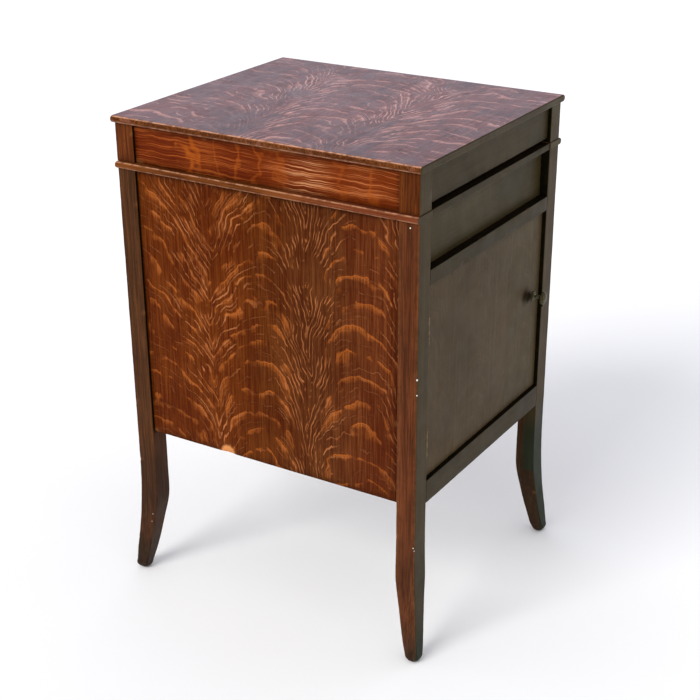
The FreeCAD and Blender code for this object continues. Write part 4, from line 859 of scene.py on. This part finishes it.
def post(node, sx, sy, seed, mat):
    """Corner post and its flared leg, from rings of a rounded square."""
    zs = np.unique(np.concatenate([[0, 0.35, 0.9, 1.8, 3.0, 4.4, 6.0, 8.0, 10.5, 14.0], np.arange(18, 300, 6.0),
                                   np.arange(300, 814, 9.0), [815.0, 820.0, 820.7, Z_WAIST]]))
    rng = np.random.RandomState(seed)
    nicks = [(rng.choice([0, 1, 2]), rng.uniform(15, 800), rng.uniform(1.8, 4.0), rng.uniform(0.4, 1.2)) for _ in range(6)]
    V, A, N, K, M = [], [], [], [], None
    o, i = outer_edge(zs), inner_edge(zs)
    dz = np.gradient(o, zs)
    di = np.gradient(i, zs)
    for k, z in enumerate(zs):
        w = o[k] - i[k]
        foot = math.exp(-z / 20.0)
        base = 1.5 + 8.5 * foot
        corners = [(o[k], o[k], 0), (i[k], o[k], 1), (i[k], i[k], 3), (o[k], i[k], 2)]
        ring, arr, nor, nick = [], [], [], []
        top = 0.6 if z >= Z_WAIST - 0.01 else (0.2 if z > Z_WAIST - 0.5 else 0.0)
        for c, (cx, cy, cid) in enumerate(corners):
            vx = 1 if cx == o[k] else -1
            vy = 1 if cy == o[k] else -1
            key = np.array([[cid * 40.0, seed * 11.0, z]])
            r = base * (1 + 0.38 * vnoise(key / 24.0, seed)[0] + 0.25 * vnoise(key / 6.5, seed + 2)[0])
            nk = 0.0
            for cc, zz, rad, add in nicks:
                if cc == cid:
                    e = math.exp(-((z - zz) / rad) ** 2)
                    r += add * e
                    nk = max(nk, e * min(1.0, add / 1.4))
            r = min(r, 0.42 * w)
            centre = (cx - vx * r, cy - vy * r)
            a0 = {(1, 1): 0, (-1, 1): 90, (-1, -1): 180, (1, -1): 270}[(vx, vy)]
            for s in range(5):
                t = math.radians(a0 + 22.5 * s)
                ring.append((centre[0] + r * math.cos(t) - vx * top, centre[1] + r * math.sin(t) - vy * top))
                nor.append((math.cos(t), math.sin(t)))
                arr.append(1.0 if s in (1, 2, 3) else 0.25)
                nick.append(nk if s in (1, 2, 3) else nk * 0.5)
            # points along the flat to the next corner
            nxt = corners[(c + 1) % 4]
            for f in (0.3, 0.5, 0.7):
                px, py = cx + (nxt[0] - cx) * f, cy + (nxt[1] - cy) * f
                t = math.radians(a0 + 90)
                ring.append((px, py))
                nor.append((math.cos(t), math.sin(t)))
                arr.append(0.0)
                nick.append(0.0)
        M = len(ring)
        for (px, py), (nx, ny), a_, n_ in zip(ring, nor, arr, nick):
            V.append((sx * (HW + px), sy * (HD + py) + YS, z))
            sl = -(dz[k] if nx > 0 else -di[k]) * abs(nx) - (dz[k] if ny > 0 else -di[k]) * abs(ny)
            v = np.array([sx * nx, sy * ny, sl if z < 290 else 0.0])
            N.append(v / np.linalg.norm(v))
            A.append(a_)
            K.append(n_)
    V, N = np.array(V), np.array(N)
    V = V - N * (0.12 * (0.5 + 0.5 * vnoise(V / 48.0, seed + 9)))[:, None] * (V[:, 2:3] > 1.0)
    V[:, 2] = np.clip(V[:, 2], 0.0, Z_WAIST)
    V[:M, 2] = 0.0
    faces = []
    flip = sx * sy < 0
    for k in range(len(zs) - 1):
        for j in range(M):
            f = (k * M + j, k * M + (j + 1) % M, (k + 1) * M + (j + 1) % M, (k + 1) * M + j)
            faces.append(f[::-1] if flip else f)
    bot = tuple(range(M))
    top_ = tuple((len(zs) - 1) * M + j for j in range(M))
    faces.append(bot if flip else bot[::-1])
    faces.append(top_[::-1] if flip else top_)
    A = np.array(A)
    # rim_shade here is painted shade at the foot where it meets the floor; recess_shade is painted shade on the return
    # faces in the recesses
    return mesh_object(node + "_v", V, faces, "case", mat, (node,), N,
                       {"arris": np.clip(A * (1.0 - 0.9 * np.clip(1.0 - V[:, 2] / 110.0, 0, 1)), 0, 1), "nick": np.array(K), "rim_shade": 0.9 * np.exp(-V[:, 2] / 5.0),
                        "recess_shade": recess(V, N)})


post("post_front_left", -1, -1, 21, m_post)
post("post_front_right", 1, -1, 22, m_post_r)
post("post_back_left", -1, 1, 23, m_post_b)
post("post_back_right", 1, 1, 24, m_post_r)


def nose_wear_and_highlight(d):
    """Wear and painted highlight round a nosing by the slope of its face in degrees: most on its shoulder, which
    carries a painted highlight, a little low down as wear.
    """
    return math.exp(-((d - 62.0) / 12.0) ** 2) + 0.55 * math.exp(-((d + 40.0) / 14.0) ** 2)


def nosed(x_in, x_out, z0, z1, r, r_in):
    """Profile in XZ with a full round at x_out; counter-clockwise seen from -Y for x_out < x_in or the other way."""
    s = 1.0 if x_out > x_in else -1.0
    pts, nrm, wm = [], [], []

    def arc(cx, cz, rad, a0, a1, n, w):
        for k in range(n + 1):
            d = a0 + (a1 - a0) * k / n
            t = math.radians(d)
            pts.append((cx + s * rad * math.cos(t), cz + rad * math.sin(t)))
            nrm.append((s * math.cos(t), math.sin(t)))
            wm.append(nose_wear_and_highlight(d) if w > 0.5 else w)

    arc(x_in + s * r_in, z0 + r_in, r_in, 180, 270, 2, 0.2)
    m = 4
    for k in range(1, m):
        x = x_in + (x_out - s * r - x_in) * k / m
        pts.append((x, z0)); nrm.append((0.0, -1.0)); wm.append(0.0)
    arc(x_out - s * r, z0 + r, r, -90, 0, 8, 1.0)
    arc(x_out - s * r, z1 - r, r, 11.25, 90, 7, 1.0)
    for k in range(1, m):
        x = x_out - s * r + (x_in - x_out + s * r) * k / m
        pts.append((x, z1)); nrm.append((0.0, 1.0)); wm.append(0.0)
    arc(x_in + s * r_in, z1 - r_in, r_in, 90, 180, 2, 0.2)
    if s < 0:
        pts.reverse(); nrm.reverse(); wm.reverse()
    return pts, nrm, wm


def waist(node, s, seed):
    lo, hi = cad_box(node)
    xi, xo = (hi[0], lo[0]) if s < 0 else (lo[0], hi[0])
    p, n, w = nosed(xi, xo, lo[2], hi[2], 6.0, 0.7)
    v, f, nn, at = sweep(p, n, lambda u, v_, q: (u, q, v_), lo[1], hi[1], 1.3, 9.0, None, 0.28, seed, w)
    f = [tuple(reversed(q)) for q in f]
    return mesh_object(node + "_v", v, f, "case", m_waist, (node,), nn, at)


waist("waist_board_left", -1, 31)
waist("waist_board_right", 1, 33)


def top_board():
    node = "lid_top_board"
    lo, hi = cad_box(node)
    r = 6.1
    x0, x1, z0, z1 = lo[0], hi[0], lo[2], hi[2]
    nb = 46
    pts, nrm, wm = [], [], []
    for k in range(nb + 1):
        pts.append((x0 + r + (x1 - x0 - 2 * r) * k / nb, z0)); nrm.append((0, -1)); wm.append(0.0)
    na = 8
    for k in range(1, na + 1):
        t = math.radians(-90 + 90 * k / na)
        pts.append((x1 - r + r * math.cos(t), z0 + r + r * math.sin(t))); nrm.append((math.cos(t), math.sin(t)))
        wm.append(nose_wear_and_highlight(-90 + 90 * k / na))
    for k in range(0, na):
        t = math.radians(90 * k / na)
        pts.append((x1 - r + r * math.cos(t), z1 - r + r * math.sin(t))); nrm.append((math.cos(t), math.sin(t)))
        wm.append(nose_wear_and_highlight(90 * k / na))
    top0 = len(pts)
    for k in range(nb + 1):
        pts.append((x1 - r - (x1 - x0 - 2 * r) * k / nb, z1)); nrm.append((0, 1)); wm.append(0.0)
    left0 = len(pts)
    for k in range(1, na + 1):
        t = math.radians(90 + 90 * k / na)
        pts.append((x0 + r + r * math.cos(t), z1 - r + r * math.sin(t))); nrm.append((math.cos(t), math.sin(t)))
        wm.append(nose_wear_and_highlight(90 - 90 * k / na))
    for k in range(0, na):
        t = math.radians(180 + 90 * k / na)
        pts.append((x0 + r + r * math.cos(t), z0 + r + r * math.sin(t))); nrm.append((math.cos(t), math.sin(t)))
        wm.append(nose_wear_and_highlight(-90 * k / na))
    strips = [(k, k + 1, top0 + nb - k - 1, top0 + nb - k) for k in range(nb)]
    right_end = list(range(nb, top0 + 1))
    left_end = list(range(top0 + nb, len(pts))) + [0]
    v, f, n, at = sweep(pts, nrm, lambda u, w, q: (u, q, w), lo[1], hi[1], 2.4, 11.0, (strips, [right_end, left_end]), 0.3, 41, wm)
    f = [tuple(reversed(q)) for q in f]
    at["front"] = np.clip(-n[:, 1] * 4.0 - 0.5, 0, 1)
    # rim_shade here is painted shade on the upper part of the front edge
    at["rim_shade"] = at["front"] * np.clip(n[:, 2] * 1.6 + 0.2, 0, 1) * 0.5
    at["arris"] = at["arris"] * (1 - 0.6 * at["front"])
    at["nose"] = np.clip((0.965 - n[:, 2]) * 9.0, 0, 1)
    return mesh_object(node + "_v", v, f, "lid", m_top, (node,), n, at)


top_board()

# door board: knob hole is hidden by the rosette
board("door_board", "door", m_door, 1.2, 9.0, seed=12, nicks=300.0)

# hidden or half-hidden woodwork
board("door_jamb", "case", m_soft_z, 1.0, 12.0, seed=15, nicks=0, ring=True)
board("cleats", "case", m_soft_y, 0.8, 14.0, seed=16, nicks=0)
board("ice_bearers", "case", m_soft_x, 1.0, 14.0, seed=17, nicks=0)
board("ice_rack_slats", "rack", m_rack, 1.6, 12.0, seed=18, nicks=300.0)
board("ice_rack_runners", "rack", m_soft_y, 1.2, 12.0, seed=19, nicks=0)
board("door_gasket", "door", m_felt, 2.6, 9.0, 0.3, 0.3, seed=20, nicks=0, ring=True)


# ------------------------------------------------------------------ CAD nodes that keep their shape
def finish_cad(node, mat, bevel=0.0, angle=35.0):
    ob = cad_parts[node]
    me = ob.data
    me.materials.clear()
    me.materials.append(mat)
    if bevel:
        w = ob.modifiers.new("weld", "WELD")
        w.merge_threshold = 2e-5
        bv = ob.modifiers.new("bevel", "BEVEL")
        bv.width = bevel / 1000.0
        bv.segments = 2
        bv.limit_method = "ANGLE"
        bv.angle_limit = math.radians(angle)
        bv.harden_normals = True
    return ob


for node in ("bottom_board", "waist_rail_back", "lid_apron_back", "lid_inner_frame"):
    finish_cad(node, {"bottom_board": m_soft_x, "waist_rail_back": m_back, "lid_apron_back": m_back, "lid_inner_frame": m_soft_x}[node], 0.7)
finish_cad("pan_runners", m_soft_y, 0.8)
for node in ("cork_walls", "cork_bottom", "lid_cork", "door_cork"):
    finish_cad(node, m_cork)
for node in ("zinc_floor", "zinc_walls", "lid_zinc", "door_zinc"):
    finish_cad(node, m_zinc, 0.25)
for node in ("ice_pan", "drip_pan", "drain_pipe"):
    finish_cad(node, m_zinc_pan, 0.25 if node != "drain_pipe" else 0.0)
for node in ("lid_hinge_case_leaves", "lid_hinge_lid_leaves", "door_hinge_case_leaves", "door_hinge_door_leaves", "hinge_pins",
             "strike_plate", "latch_cam", "ice_pan_outlet"):
    finish_cad(node, m_brass, 0.15)
for node in ("knob_rosette", "latch_knob"):
    finish_cad(node, m_brass_dark)
for node in ("case_hinge_screws", "lid_hinge_lid_screws", "door_hinge_door_screws", "ice_rack_nails", "latch_spindle", "drip_pan_pull"):
    finish_cad(node, m_steel)
finish_cad("wire_shelf", m_wire)

# ------------------------------------------------------------------ floor, light, camera
def floor_material():
    b = B("pale_floor")
    n = b.noise(b.P, 1 / 900.0, 2.0)
    b.put(b.bsdf.inputs["Base Color"], b.mix(n, (0.935, 0.935, 0.930), (0.96, 0.96, 0.955)))
    b.bsdf.inputs["Roughness"].default_value = 0.85
    b.bsdf.inputs["Specular IOR Level"].default_value = 0.2
    return b.mat


me = bpy.data.meshes.new("floor")
S = 14.0
me.from_pydata([(-S, -S, -0.0005), (S, -S, -0.0005), (S, S, -0.0005), (-S, S, -0.0005)], [], [(0, 1, 2, 3)])
floor = bpy.data.objects.new("floor", me)
scene.collection.objects.link(floor)
me.materials.append(floor_material())

world = bpy.data.worlds.new("studio")
scene.world = world
world.use_nodes = True
bg = world.node_tree.nodes["Background"]
bg.inputs[0].default_value = (0.92, 0.94, 1.0, 1.0)
bg.inputs[1].default_value = 0.84

sun = bpy.data.lights.new("key", "SUN")
sun.energy = 2.0
sun.angle = math.radians(30.0)
sun.color = (1.0, 0.975, 0.94)
so_ = bpy.data.objects.new("key", sun)
so_.rotation_euler = Vector((0.80, -0.20, -0.56)).to_track_quat("-Z", "Y").to_euler()
scene.collection.objects.link(so_)

fl_ = bpy.data.lights.new("sheen", "AREA")
fl_.shape = "RECTANGLE"
fl_.size, fl_.size_y = 4.0, 2.2
fl_.energy = 8.0
fl_.color = (0.90, 0.68, 1.0)
fo = bpy.data.objects.new("sheen", fl_)
fo.location = (3.3, 2.05, 2.1)
fo.rotation_euler = (Vector((0.0, 0.0, 0.9)) - fo.location).to_track_quat("-Z", "Y").to_euler()
scene.collection.objects.link(fo)

YAW, PITCH, ROLL = math.radians(58.475), math.radians(-25.022), math.radians(-0.261)
fwd = Vector((math.sin(YAW) * math.cos(PITCH), math.cos(YAW) * math.cos(PITCH), math.sin(PITCH)))
right = Vector((math.cos(YAW), -math.sin(YAW), 0.0))
up = right.cross(fwd)
c, s = math.cos(ROLL), math.sin(ROLL)
right, up = right * c + up * s, right * -s + up * c
cam = bpy.data.cameras.new("camera")
cam.sensor_width = 36.0
cam.lens = 1435.759 / 700.0 * 36.0
cam.shift_x = (350.0 - 353.18) / 700.0
cam.shift_y = (380.386 - 350.0) / 700.0
cam.clip_end = 100.0
cob = bpy.data.objects.new("camera", cam)
m = Matrix((right, up, -fwd)).transposed().to_4x4()
m.translation = Vector((-2.134502, -1.328024 + YS / 1000.0, 1.547439))
cob.matrix_world = m
scene.collection.objects.link(cob)
scene.camera = cob
scene.view_settings.view_transform = "Standard"
